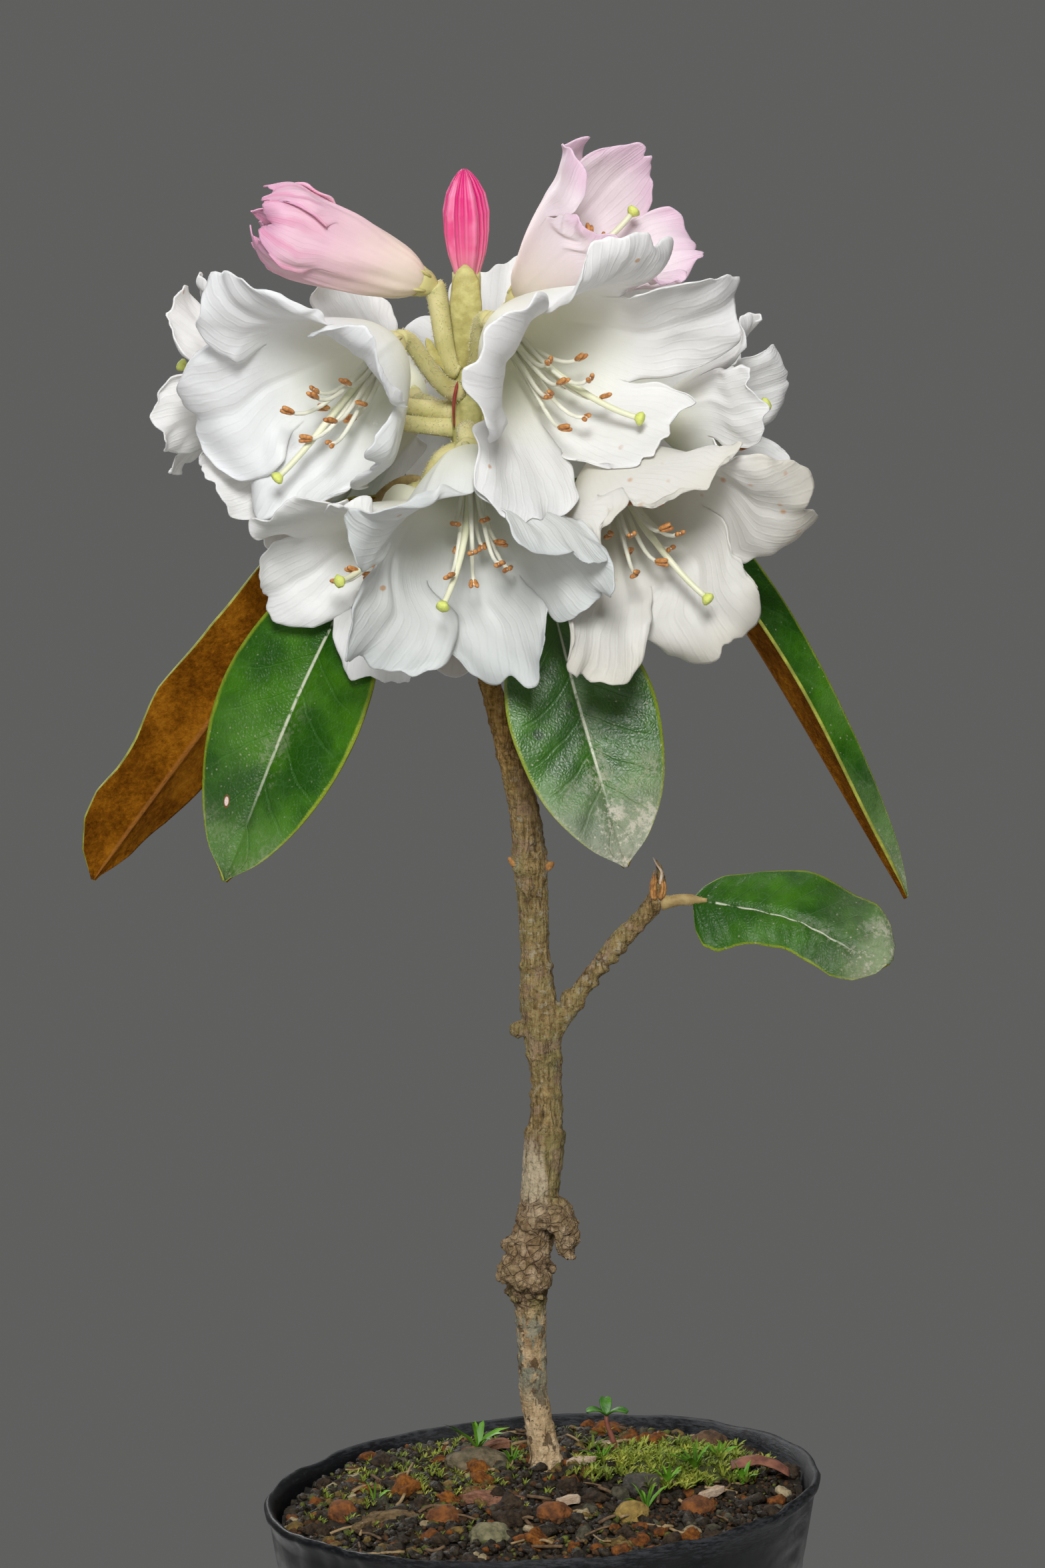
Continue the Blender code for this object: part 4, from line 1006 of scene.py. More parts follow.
def bark_relief(x, y, z, seed):
    """How far the bark stands out at a place: a few long cracks, wrinkles round the stem and fine grain."""
    fine = noise.fractal(Vector((x * 0.9, y * 0.9, z * 0.6 + seed)), 0.7, 2.1, 4) * 0.2
    ridge = abs(noise.noise(Vector((x * 0.5, y * 0.5, z * 0.09 + seed * 3))))
    crack = -0.38 * max(0.0, 1.0 - ridge / 0.045)
    wrinkle = noise.noise(Vector((x * 0.25, y * 0.25, z * 0.95 + seed))) * 0.2
    flake = noise.cell(Vector((x * 0.35 + 9, y * 0.35, z * 0.16 + seed))) * 0.09
    return fine + crack + flake + wrinkle


def burl_relief(x, y, z):
    """Cobbled bark round the burl and its hook: rounded scales with grooves between them."""
    near = max(0.0, min(1.0, 2.2 - abs(z - 153.0) / 7.0))
    twist = Vector((x, y, z)) + noise.noise_vector(Vector((x, y, z)) * 0.2) * 2.4
    distances = noise.voronoi(Vector((twist.x * 0.34, twist.y * 0.34, twist.z * 0.2)))[0]
    scales = min(1.0, (distances[1] - distances[0]) / 0.22) - 0.75
    folds = noise.noise(Vector((twist.x * 0.85, twist.y * 0.85, twist.z * 0.22)))
    return near * (0.55 * scales + 0.42 * folds)


def sheath_relief(x, y, z):
    """Where the bark's outer layer ends in a ragged ring, and the scars that circle the stem."""
    torn = z + noise.noise(Vector((x * 0.6, y * 0.6, 4.0))) * 1.4
    below = SHEATH_TOP - torn
    layer = max(0.0, min(1.0, below / 0.5)) * max(0.0, min(1.0, (9.0 - below) / 8.0))
    rings = sum(exp(-((torn - height) / 0.7) ** 2) for height in SCAR_RINGS)
    return 0.75 * layer + 0.45 * rings


def woody(name, node, bark, voxel, relief, extra):
    """Copy of a wooden solid with finer lumps joined to it, remeshed and roughened."""
    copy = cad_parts[node].data.copy()
    copy.materials.clear()
    piece = bpy.data.objects.new(name, copy)
    bpy.context.scene.collection.objects.link(piece)
    lumps = []
    for centre, radius, squash in extra:
        bpy.ops.object.select_all(action="DESELECT")
        bpy.ops.mesh.primitive_ico_sphere_add(subdivisions=3, radius=radius * MM, location=Vector(centre) * MM)
        lump = newest(name + "_lump")
        lump.scale = (1.0, 1.0, squash)
        bpy.ops.object.transform_apply()
        lumps.append(lump)
    piece = weld(join(name, [piece, *lumps]), 0.005)
    refine(piece, "REMESH", mode="VOXEL", voxel_size=voxel * MM)
    refine(piece, "SMOOTH", factor=0.5, iterations=6)
    points = points_of(piece.data) / MM
    depths = np.array([relief(*point) for point in points])
    move_points(piece.data, points + points_of(piece.data, "normal") * depths[:, None])
    dress(piece, "bark", bark, replaces=(node,))


def build_wood():
    bark = bark_paint()
    dice = random.Random(7)
    lumps = []
    for _ in range(34):
        turn = dice.uniform(0, TURN)
        height = dice.uniform(-6.5, 7.0)
        reach = 5.6 - abs(height) * 0.25
        place = (reach * cos(turn), reach * sin(turn) * 0.9, height)
        lumps.append((tuple(BURL_CENTRE + place), dice.uniform(0.9, 1.8), 0.85))
    lumps += [((x, y, z), radius, 1.0) for x, y, z, radius in HOOK]
    woody("trunk_bark", "trunk", bark, 0.4, lambda *place: bark_relief(*place, 1.0) + burl_relief(*place)
          + sheath_relief(*place), lumps)
    rings = [((6.6, 8.9, 208.9), 2.8, 1.0)]
    for t, radius in SHOOT_RINGS:
        spot = np.array((7.2, 8.9, 209.5)) * (1 - t) + np.array((23.6, 8.0, 230.0)) * t
        rings.append((tuple(spot), radius, 0.5))
    woody("side_branch_bark", "side_branch", bark, 0.32, lambda *place: bark_relief(*place, 5.0) * 0.8, rings)
    build_dry_bud()


def build_dry_bud():
    """Orange-brown scales of the dried bud at the end of the side shoot, and the two buds on the stem."""
    heap = Heap()
    dice = random.Random(3)
    foot = np.array((24.6, 8.0, 231.6))
    for i in range(7):
        turn = TURN * i / 7 + dice.uniform(-0.3, 0.3)
        out = np.array((cos(turn), sin(turn), 0.0))
        top = dice.uniform(3.4, 5.6)
        spine = [foot + out * 1.1, foot + out * 1.6 + (0.1, 0, top * 0.4),
                 foot + out * 1.2 + (0.2, 0, top * 0.75), foot + out * dice.uniform(0.3, 1.6) + (0.2, 0, top)]
        heap.add(*tube(smooth_course(spine, 4), np.linspace(1.5, 0.25, 13), 10, flat=0.4), 0)
    wisp = smooth_course((foot + (0.6, -0.6, 3.0), foot + (0.9, -1.2, 5.4), foot + (-0.2, -1.3, 7.2),
                          foot + (-0.9, -1.0, 8.6)), 8)
    heap.add(*tube(wisp, np.linspace(1.0, 0.14, len(wisp)), 9, flat=0.45), 1)
    for place, way in (((-6.0, 9.0, 238.9), (-0.75, -0.3, 0.6)), ((1.2, 8.9, 238.0), (0.85, -0.2, 0.5))):
        way = unit(way)
        spine = [np.array(place) + way * t for t in (-0.8, 0.0, 0.7, 1.3, 1.7)]
        heap.add(*tube(spine, (0.9, 1.05, 0.85, 0.5, 0.12), 12), 0)
    scales = plain_paint("bud_scale", (0.62, 0.31, 0.09), (0.27, 0.115, 0.03), 1.2, 0.8, 0.3)
    pale = plain_paint("bud_wisp", (0.72, 0.6, 0.48), (0.5, 0.36, 0.24), 1.2, 0.8, 0.1)
    dress(heap.piece("dry_bud_scales"), "bark", scales, pale)


def build_stalk():
    """Ribbed green axis of the flower head, with the scars of fallen bracts."""
    green = plain_paint("stalk_ribbed", (0.54, 0.5, 0.2), (0.34, 0.33, 0.1), 3.0, 0.6, 0.2)
    steps = np.linspace(0.0, 1.0, 30)
    course = [STALK_AXIS + (0.0, 0.0, STALK_FOOT + (STALK_TOP - STALK_FOOT) * t) for t in steps]
    radii = np.interp(steps, (0.0, 0.25, 0.6, 0.88, 1.0), (3.0, 3.7, 3.7, 3.2, 1.9))
    heap = Heap()
    heap.add(*tube(course, radii, 32, swell=lambda t, turn: 1 + 0.05 * cos(8 * turn + 5 * t)
                   + 0.04 * cos(23 * t + 2 * turn)))
    dress(heap.piece("flower_stalk_ribs"), "stalk", green, replaces=("flower_stalk",))


def bract(heap, spine, width, paint=0):
    """Scale with a rounded end, flat towards the viewer."""
    course = smooth_course(spine, 7)
    steps = np.linspace(0.0, 1.0, len(course))
    flatness = 3.6
    radii = np.interp(steps, (0.0, 0.3, 0.65, 0.86, 0.96, 1.0), (0.55, 0.78, 1.0, 0.86, 0.5, 0.12))
    heap.add(*tube(course, radii * width / 2 / flatness, 28, flatness, lambda t, turn: (
        1 + 0.12 * cos(2 * turn) * t + 0.04 * cos(9 * turn + 7 * t))), paint)


def build_bracts():
    """Scales left at the foot of the buds, and the small red one between the two upper blooms."""
    heap = Heap()
    bract(heap, ((-15.7, 2.2, 344.5), (-15.8, -0.8, 351.0), (-16.0, -3.3, 358.5), (-16.2, -3.7, 366.4)), 7.2)
    bract(heap, ((-11.5, 6.0, 351.0), (-7.0, 4.6, 356.6), (-1.8, 4.0, 360.4)), 4.2)
    bract(heap, ((-19.0, 2.6, 343.5), (-22.4, 0.8, 347.0), (-24.4, 0.4, 351.0)), 2.2)
    bract(heap, ((-18.6, 1.8, 332.5), (-18.6, -0.8, 337.5), (-17.8, -1.4, 342.0)), 2.6, 1)
    ochre = plain_paint("bract_ochre", (0.6, 0.56, 0.22), (0.42, 0.36, 0.11), 3.0, 0.6, 0.25)
    red = plain_paint("bract_red", (0.45, 0.07, 0.05), (0.26, 0.03, 0.03), 2.0, 0.6, 0.2)
    dress(heap.piece("bracts"), "stalk", ochre, red)


def build_buds():
    build_opening_bud()
    build_closed_bud()


def build_opening_bud():
    """Five long lobes that lie over one another, pleated lengthwise."""
    rose = petal_paint("petal_rose", (0.83, 0.5, 0.6), (0.86, 0.7, 0.58), (0.78, 0.38, 0.55),
                       flush=(0.76, 0.26, 0.42))
    base, forward = np.array(OPENING_BUD[0]), unit(OPENING_BUD[1])
    petals = corolla("bud_opening_petals", base, bloom_axes(forward, 50), 0.86, OPENING_BUD_WALL, 41, [],
                     LOBE_HABITS["bud_opening"], 0.8)
    from_foot = points_of(petals.data) / MM - base
    depth = from_foot @ forward
    spokes = from_foot - depth[:, None] * forward
    right, up, _ = bloom_axes(forward, 0)
    turn = np.arctan2(spokes @ up, spokes @ right)
    pleats = 1 + 0.055 * np.sin(5 * turn + depth * 0.16) * soft_step(depth, 2.0, 14.0)
    pleats = pleats + 0.03 * ripples(77, 0.8, np.cos(turn) * 2, np.sin(turn) * 2, depth * 0.06)
    move_points(petals.data, base + depth[:, None] * forward + spokes * pleats[:, None])
    dress(petals, "pink_petal", rose, replaces=("bud_opening",))
    paints = [bpy.data.materials[name] for name in ("stalk_green", "down_pale")]
    pedicel("bud_opening", base, forward, 41, paints, 0.14, 2.2)


def build_closed_bud():
    """Rolled bud in the bract that holds it."""
    foot, tip, radius = (np.array(fact) for fact in CLOSED_BUD)
    way = unit(tip - foot)
    steps = np.linspace(0.0, 1.0, 90)
    radii = radius * np.interp(steps, (0.0, 0.08, 0.25, 0.45, 0.62, 0.78, 0.9, 0.97, 1.0),
                               (0.44, 0.55, 0.76, 0.88, 0.89, 0.74, 0.48, 0.26, 0.1))
    heap = Heap()
    course = [foot + way * (BUD_START + BUD_LENGTH * t) for t in steps]
    heap.add(*tube(course, radii, 200, swell=rolled_lobes))
    dress(heap.piece("bud_closed_petals"), "bud", bud_paint(foot, way), replaces=("bud_closed",))
    steps = np.linspace(0.0, 1.0, 24)
    rings, faces = tube([foot + way * BRACT_LENGTH * t for t in steps],
                        np.interp(steps, (0.0, 0.3, 0.65, 0.9, 1.0), (1.6, 2.6, 3.4, 3.7, 3.6)),
                        48, flat=0.8, swell=wavy(0.06, 5, 4))
    from_foot = np.array(rings) - foot
    share = (from_foot @ way / BRACT_LENGTH)[:, None]
    facing = from_foot[:, 0:1] / 4.0
    heap = Heap()
    heap.add(rings + way * share ** 3 * (2.6 * facing ** 2 + 0.7 * facing - 0.6), faces)
    dress(heap.piece("bud_closed_bract"), "stalk", bpy.data.materials["stalk_green"])


def rolled_lobes(t, turn):
    """Five lobes of a closed bud rolled over one another: each edge stands over the next lobe."""
    lap = (turn * LOBES / TURN) % 1.0
    edge = 0.26 * lap ** 2 * float(soft_step(lap, 1.0, 0.88)) - 0.05 * exp(-(lap / 0.08) ** 2)
    ribs = 0.024 * sin(turn * 20) + 0.03 * sin(turn * 3 + 7 * t)
    return 0.94 + (edge + ribs) * min(1.0, 0.3 + 2 * t)


def bud_paint(foot, way):
    """Deep pink that is paler towards the bract, with painted shade darkening the folds and painted highlights
    on the ridges and ribs.
    """
    paint = Paint("bud_magenta", Specular_IOR_Level=0.35, Subsurface_Weight=0.15, Subsurface_Scale=0.002)
    rise = paint.along("Z") - float(foot[2])
    x = paint.along("X") - float(foot[0]) - rise * float(way[0] / way[2])
    y = paint.along("Y") - float(foot[1]) - rise * float(way[1] / way[2])
    turn = paint.math("ARCTAN2", 0.0 - x, y)
    share = rise * float(1 / way[2] / BUD_LENGTH) - BUD_START / BUD_LENGTH
    drift = paint.cloud(6.0, 2.0)
    lap = paint.math("FRACT", turn * (LOBES / TURN) + 5.0)
    ribs = paint.math("SINE", turn * 20.0 + drift * 2.0)
    tint = paint.ramp(share, (0.0, (0.84, 0.36, 0.42)), (0.3, (0.8, 0.11, 0.28)),
                      (0.75, (0.7, 0.012, 0.18)))
    # The ridge coat and the rib coat are painted highlights on the raised lobe edges and ribs; the fold coat
    # is painted shade in the folds.
    ridge = paint.step(lap, 0.45, 0.92) * paint.step(drift, 0.35, 0.6)
    tint = paint.layers(tint, (ridge * 0.7, (0.9, 0.3, 0.48)),
                        (paint.step(lap + drift * 0.06, 0.2, 0.04) * 0.8, (0.4, 0.002, 0.09)),
                        (paint.step(ribs, 0.1, 0.9) * 0.28, (0.9, 0.34, 0.5)))
    return paint.finished(tint, 0.42, ribs * 0.5, 0.1)


def pot_radius(z):
    return POT_FOOT_RADIUS + (POT_TOP_RADIUS - POT_LIP - POT_FOOT_RADIUS + POT_WALL) * z / POT_HEIGHT


# Reach of the mix, just inside the pot's wall
MIX_RADIUS = pot_radius(98.0) - POT_WALL - 0.6


def rim_lift(x, y):
    return RIM_LEAN_RIGHT * x / POT_TOP_RADIUS + RIM_LEAN_BACK * y / POT_TOP_RADIUS


def pot_profile():
    """Radius and height down the outside, across the foot and up the inside."""
    inner_foot = pot_radius(POT_WALL) - POT_WALL
    inner_top = pot_radius(POT_HEIGHT) - POT_WALL
    rim = [(inner_top + 0.6, 0.4), (inner_top + 1.4, 0.0), (POT_TOP_RADIUS - 0.6, 0.2),
           (POT_TOP_RADIUS - 0.1, 1.0), (POT_TOP_RADIUS - 0.3, 2.0), (pot_radius(POT_HEIGHT - 3.2), 3.2)]
    rim = [(radius, POT_HEIGHT - below) for radius, below in rim]
    outer = [(pot_radius(z), z) for z in (*np.arange(100.0, 60.0, -2.0), *np.arange(60.0, 4.0, -6.0))]
    foot = [(pot_radius(2.0), 2.0), (POT_FOOT_RADIUS - 0.3, 0.6), (POT_FOOT_RADIUS - 1.0, 0.0), (20.0, 0.0)]
    inside = [(20.0, POT_WALL), (inner_foot - 2.0, POT_WALL), (inner_foot, POT_WALL + 2.0)]
    inner = [(pot_radius(z) - POT_WALL, z) for z in np.arange(10.0, 104.0, 3.0)]
    return [*rim, *outer, *foot, *inside, *inner]


def build_pot():
    """Thin soft pot: rings extruded down the outside and up the inside, then dented."""
    profile = pot_profile()
    steps = []
    for (radius, height), (next_radius, next_height) in zip(profile, profile[1:]):
        share = next_radius / radius
        steps.append((bpy.ops.mesh.extrude_region_move,
                      {"TRANSFORM_OT_translate": {"value": (0, 0, (next_height - height) * MM)}}))
        steps.append((bpy.ops.transform.resize,
                      {"value": (share, share, 1), "center_override": (0, 0, next_height * MM)}))
    pot = primitive(bpy.ops.mesh.primitive_circle_add, "pot_shell", vertices=180, radius=profile[0][0] * MM,
                    location=(0, 0, profile[0][1] * MM))
    weld(edit(pot, *steps), 0.01)
    close_pot(pot)
    x, y, z = (points_of(pot.data) / MM).T
    turn = np.arctan2(y, x)
    top = soft_step(z, 78.0, 104.0)
    front_left = np.exp(-((turn + 2.35) / 0.35) ** 2)
    right = np.exp(-((turn + 0.55) / 0.5) ** 2) * soft_step(z, 80.0, 98.0)
    dents = top * (0.7 * ripples(11, 1.4, turn * 2) + 0.35 * ripples(12, 0.35, turn, z / 60.0))
    dents = dents - top * front_left * (1.1 + 0.8 * ripples(13, 0.12, turn)) * 0.7
    dents = dents + right * 0.35 * np.sin(z * 1.9 + 3 * ripples(14, 0.5, turn))
    scale = 1 + np.minimum(dents, 0.0) / np.maximum(np.hypot(x, y), 0.001)
    lift = rim_lift(x, y) * z / POT_HEIGHT
    lift = np.where(z < 60.0, lift, np.minimum(lift + top * 0.5 * ripples(15, 0.5, turn), lift))
    move_points(pot.data, np.column_stack((x * scale, y * scale, z + lift)))
    plastic = Paint("pot_plastic", Specular_IOR_Level=0.2)
    scuff = plastic.cloud(1.3, 7.0, 0.8, plastic.stretched(0.5, 0.5, 2.6))
    rim = plastic.step(plastic.along("Z") + plastic.cloud(6.0) * 4.0, 100.0, 107.0)
    # Streaks of lighter grey, strongest near the rim, are partly wear and partly a painted reflection of the
    # lamps on the glossy rim.
    wear_and_painted_reflection = plastic.step(scuff + rim * 0.1, 0.54, 0.66)
    colour = plastic.blend(wear_and_painted_reflection * (0.05 + rim * 0.35), (0.006, 0.0065, 0.0075), (0.085, 0.09, 0.1))
    relief = plastic.cloud(9.0, 2.0) * 0.8 + scuff * rim * 0.4
    dress(pot, "pot_plastic", plastic.finished(colour, 0.3 + wear_and_painted_reflection * 0.15, relief, 0.5), replaces=("pot",))


def close_pot(pot):
    """Join the rim's two edges and cut the drain holes."""
    shape = bmesh.new()
    shape.from_mesh(pot.data)
    bmesh.ops.bridge_loops(shape, edges=[edge for edge in shape.edges if len(edge.link_faces) == 1])
    bmesh.ops.recalc_face_normals(shape, faces=shape.faces)
    shape.to_mesh(pot.data)
    shape.free()
    cutters = []
    for i in range(DRAIN_COUNT):
        turn = TURN * (i + 0.5) / DRAIN_COUNT
        x, y = DRAIN_RING_RADIUS * cos(turn), DRAIN_RING_RADIUS * sin(turn)
        bpy.ops.object.select_all(action="DESELECT")
        bpy.ops.mesh.primitive_cylinder_add(vertices=32, radius=DRAIN_RADIUS * MM, depth=12 * MM,
                                            location=(x * MM, y * MM, 0.0))
        cutters.append(newest("drain_cutter"))
    cutter = join("drain_cutter", cutters)
    refine(pot, "BOOLEAN", operation="DIFFERENCE", object=cutter, solver="EXACT")
    bpy.data.objects.remove(cutter)


def mix_height(x, y):
    """Top of the growing mix."""
    away = hypot(x - TRUNK_FOOT[0], y - TRUNK_FOOT[1]) / POT_TOP_RADIUS
    z = MOUND_TOP - MOUND_FALL * away ** 1.6 + noise.noise(Vector((x, y, 3.0)) / 9.0) * 0.7
    return z + rim_lift(x, y) * z / POT_HEIGHT


def grain_shapes(subdivisions, roughness):
    """A few crumb shapes, each with its points and faces."""
    shapes = []
    for seed in range(7):
        crumb = primitive(bpy.ops.mesh.primitive_ico_sphere_add, "crumb", subdivisions=subdivisions,
                          radius=1.0)
        points = points_of(crumb.data)
        reach = [1 + roughness * noise.fractal(Vector(point) * 1.1 + Vector((seed * 7, 0, 0)), 0.8, 2.1, 4)
                 + 0.12 * noise.noise(Vector(point) * 4 + Vector((0, seed * 5, 0))) for point in points]
        faces = [tuple(face.vertices) for face in crumb.data.polygons]
        shapes.append((points * np.array(reach)[:, None], faces))
        bpy.data.objects.remove(crumb)
    return shapes


def scatter(name, count, sizes, shapes, light, dark, dice, sink=0.25, thinned=None, roughness=0.85):
    """Crumbs strewn over the mix."""
    heap = Heap()
    low, high = sizes
    for _ in range(count):
        x, y = strewn(MIX_RADIUS - 1.4, dice)
        if thinned and noise.noise(Vector((x, y, thinned)) / 14.0) < dice.uniform(-0.25, 0.25):
            continue
        points, faces = dice.choice(shapes)
        size = low + (high - low) * dice.random() ** 2
        stretch = np.array([dice.uniform(0.85, 1.35), dice.uniform(0.7, 1.1), dice.uniform(0.55, 0.9)]) * size
        turn, roll = dice.uniform(0, TURN), dice.uniform(-0.6, 0.6)
        c, s = cos(roll), sin(roll)
        shaped = points * stretch @ np.array(((1, 0, 0), (0, c, s), (0, -s, c))) @ spin(turn)
        heap.add(shaped + (x, y, mix_height(x, y) + size * sink), faces)
    paint = plain_paint(name, light, dark, 1.3, roughness, 0.55, Specular_IOR_Level=0.3)
    return dress(heap.piece(name), "growing_mix", paint)


def build_mix():
    dice = random.Random(5)
    # The colours of the mix and its crumbs are partly painted shade: they are made darker to stand for the
    # shade that lies over the mix.
    soil = plain_paint("mix_dark", (0.04, 0.027, 0.011), (0.007, 0.005, 0.003), 2.4, 0.85, 0.9)
    top = primitive(bpy.ops.mesh.primitive_circle_add, "mix_top", vertices=96, radius=MIX_RADIUS * MM,
                    fill_type="TRIFAN", location=(0, 0, MOUND_TOP * MM))
    edit(top, (bpy.ops.mesh.subdivide, {"number_cuts": 12}))
    points = points_of(top.data) / MM
    x, y = points[:, 0], points[:, 1]
    bumps = 0.7 * ripples(21, 5.0, x, y) + 0.4 * ripples(22, 2.2, x, y)
    points[:, 2] = [mix_height(*place) for place in zip(x, y)] + bumps - 0.4
    move_points(top.data, points)
    refine(top, "SOLIDIFY", thickness=6.0 * MM, offset=-1.0)
    dress(top, "growing_mix", soil, replaces=("growing_mix",))
    crumbs, lumps, lava = grain_shapes(1, 0.35), grain_shapes(2, 0.55), grain_shapes(3, 0.6)
    for name, count, sizes, shapes, light, dark, *rest in (
            ("crumbs_black", 2600, (0.4, 1.3), crumbs, (0.034, 0.022, 0.01), (0.007, 0.004, 0.002), 0.35,
             None, 0.4),
            ("crumbs_brown", 1100, (0.35, 1.1), crumbs, (0.13, 0.06, 0.022), (0.045, 0.022, 0.008), 0.4),
            ("grit_dark", 460, (0.7, 2.0), lumps, (0.052, 0.038, 0.022), (0.01, 0.007, 0.004), 0.25,
             None, 0.5),
            ("crumbs_moss", 900, (0.35, 1.2), crumbs, (0.17, 0.19, 0.03), (0.045, 0.055, 0.012), 0.5, 6.0),
            ("grit_rust", 230, (0.8, 2.4), lumps, (0.27, 0.088, 0.014), (0.075, 0.024, 0.006), 0.25, 4.0),
            ("grit_tan", 230, (0.6, 2.1), lumps, (0.25, 0.165, 0.045), (0.08, 0.05, 0.015), 0.25, 9.0),
            ("grit_grey", 130, (0.6, 2.2), lumps, (0.12, 0.108, 0.07), (0.038, 0.033, 0.02)),
            ("lava_rust", 40, (1.8, 3.8), lava, (0.33, 0.115, 0.014), (0.085, 0.025, 0.005), 0.2, 4.0),
            ("lava_dark", 40, (1.8, 3.4), lava, (0.07, 0.044, 0.024), (0.014, 0.009, 0.005), 0.2),
            ("grit_pale", 34, (0.9, 1.9), lumps, (0.5, 0.41, 0.25), (0.28, 0.21, 0.11), 0.4)):
        scatter(name, count, sizes, shapes, light, dark, dice, *rest)
    twigs = Heap()
    for _ in range(90):
        x, y = strewn(MIX_RADIUS - 6.0, dice)
        way = dice.uniform(0, TURN)
        length = dice.uniform(2.5, 8.0)
        spine = []
        for share in (-0.5, 0.0, 0.5):
            px, py = x + cos(way) * length * share, y + sin(way) * length * share
            spine.append((px, py, mix_height(px, py) + dice.uniform(0.6, 1.8)))
        radius = dice.uniform(0.16, 0.42)
        twigs.add(*tube(smooth_course(spine, 3), [radius] * 7, 6), dice.randrange(2))
    dress(twigs.piece("twigs"), "growing_mix",
          plain_paint("twig_brown", (0.2, 0.12, 0.06), (0.08, 0.045, 0.02), 1.2, 0.85, 0.1),
          plain_paint("twig_tan", (0.42, 0.3, 0.15), (0.25, 0.16, 0.07), 1.2, 0.85, 0.1))


def build_chips():
    """Splintered bark chips, the pale and brown bits that lie about, and a dead leaf."""
    red = plain_paint("chip_red", (0.34, 0.16, 0.09), (0.14, 0.055, 0.03), 1.8, 0.85, 0.5)
    brown = plain_paint("chip_brown", (0.25, 0.165, 0.075), (0.09, 0.055, 0.022), 1.8, 0.85, 0.5)
    # chip_pale is partly painted shade: its colour is made darker for the shade that lies over the mix.
    pale = plain_paint("chip_pale", (0.6, 0.47, 0.34), (0.38, 0.26, 0.17), 1.8, 0.8, 0.4)
    plates = (("bark_chip_front", (-10.5, -11.0), (7.0, 2.6, 1.2), -28, red),
              ("bark_chip_left", (-31.0, -13.0), (7.5, 2.2, 1.1), 18, brown),
              ("", (8.5, 9.0), (3.2, 1.7, 0.7), -35, pale), ("", (14.0, 24.0), (3.4, 1.0, 0.6), -50, pale),
              ("", (5.5, -16.0), (2.6, 1.6, 0.8), 12, pale), ("", (-12.0, 27.0), (5.5, 2.4, 0.9), 14, red),
              ("", (36.0, -12.0), (3.2, 1.3, 0.8), 40, pale),
              ("", (-37.0, -16.0), (6.0, 1.2, 0.8), 62, brown))
    for seed, (node, (x, y), size, turn, paint) in enumerate(plates):
        name = (node or "chip_loose_%d" % seed) + "_splinters"
        plate = primitive(bpy.ops.mesh.primitive_cube_add, name, size=2.0)
        edit(plate, (bpy.ops.mesh.subdivide, {"number_cuts": 22}))
        along, aside, up = points_of(plate.data).T
        fibre = ripples(seed + 60, 0.35, aside, along * 0.06)
        ends = abs(along) ** 3
        along = along * (1 - 0.22 * (fibre * 0.5 + 0.5) * ends)
        aside = aside * (1 - 0.35 * ends * (0.6 + 0.4 * ripples(seed + 61, 1.5, along)))
        up = up * (0.8 + 0.25 * fibre) + 0.25 * ripples(seed + 62, 1.6, along)
        shaped = np.column_stack((along, aside, up)) * size @ spin(radians(turn))
        tilt, lift = (0.0, 0.3) if node else (0.18, 1.4)
        shaped[:, 2] += shaped[:, 0] * tilt
        move_points(plate.data, shaped + (x, y, mix_height(x, y) + lift))
        dress(plate, "bark_chip", paint, replaces=(node,) if node else ())
    curl = sheet("dead_leaf", 16, 24, lambda u, v: np.column_stack((
        47.0 + v * 6.3, 2.0 + u * 2.6 + v * 0.8,
        108.6 + 1.9 * (1 - v ** 2) - 1.2 * u ** 2 + 0.3 * ripples(71, 1.0, u, v) - 0.9 * v)))
    refine(curl, "SOLIDIFY", thickness=0.3 * MM, offset=0.0)
    dress(curl, "bark_chip",
          plain_paint("dead_leaf", (0.3, 0.115, 0.065), (0.13, 0.045, 0.028), 2.5, 0.7, 0.2))


def build_stones():
    """Lumps of lava and grit that lie half sunk in the mix, one for each solid."""
    looks = {
        "stone_mossy_back": ((0.22, 0.17, 0.1), (0.07, 0.06, 0.03)),
        "stone_tan_front_left": ((0.27, 0.24, 0.13), (0.1, 0.1, 0.05)),
        "stone_yellow_front": ((0.4, 0.27, 0.07), (0.2, 0.13, 0.03)),
        "stone_grey_right": ((0.105, 0.092, 0.072), (0.035, 0.032, 0.025)),
        "stone_brown_back_right": ((0.16, 0.085, 0.04), (0.05, 0.028, 0.014)),
    }
    for seed, node in enumerate(sorted(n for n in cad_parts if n.startswith("stone"))):
        low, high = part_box(node)
        centre, size = (low + high) / 2, (high - low) / 2
        stone = primitive(bpy.ops.mesh.primitive_ico_sphere_add, node + "_rock", subdivisions=5, radius=1.0,
                          location=centre, scale=size)
        points = points_of(stone.data) / MM
        middle = np.array(centre) / MM
        rough = [1.02 + 0.16 * noise.fractal(Vector(point) * 0.35 + Vector((seed, 0, 0)), 0.8, 2.2, 5)
                 for point in points]
        move_points(stone.data, middle + (points - middle) * np.array(rough)[:, None])
        light, dark = looks.get(node, ((0.28, 0.095, 0.02), (0.085, 0.03, 0.009)))
        paint = plain_paint(node + "_rock", light, dark, 2.2, 0.9, 0.6)
        dress(stone, "stone", paint, replaces=(node,))


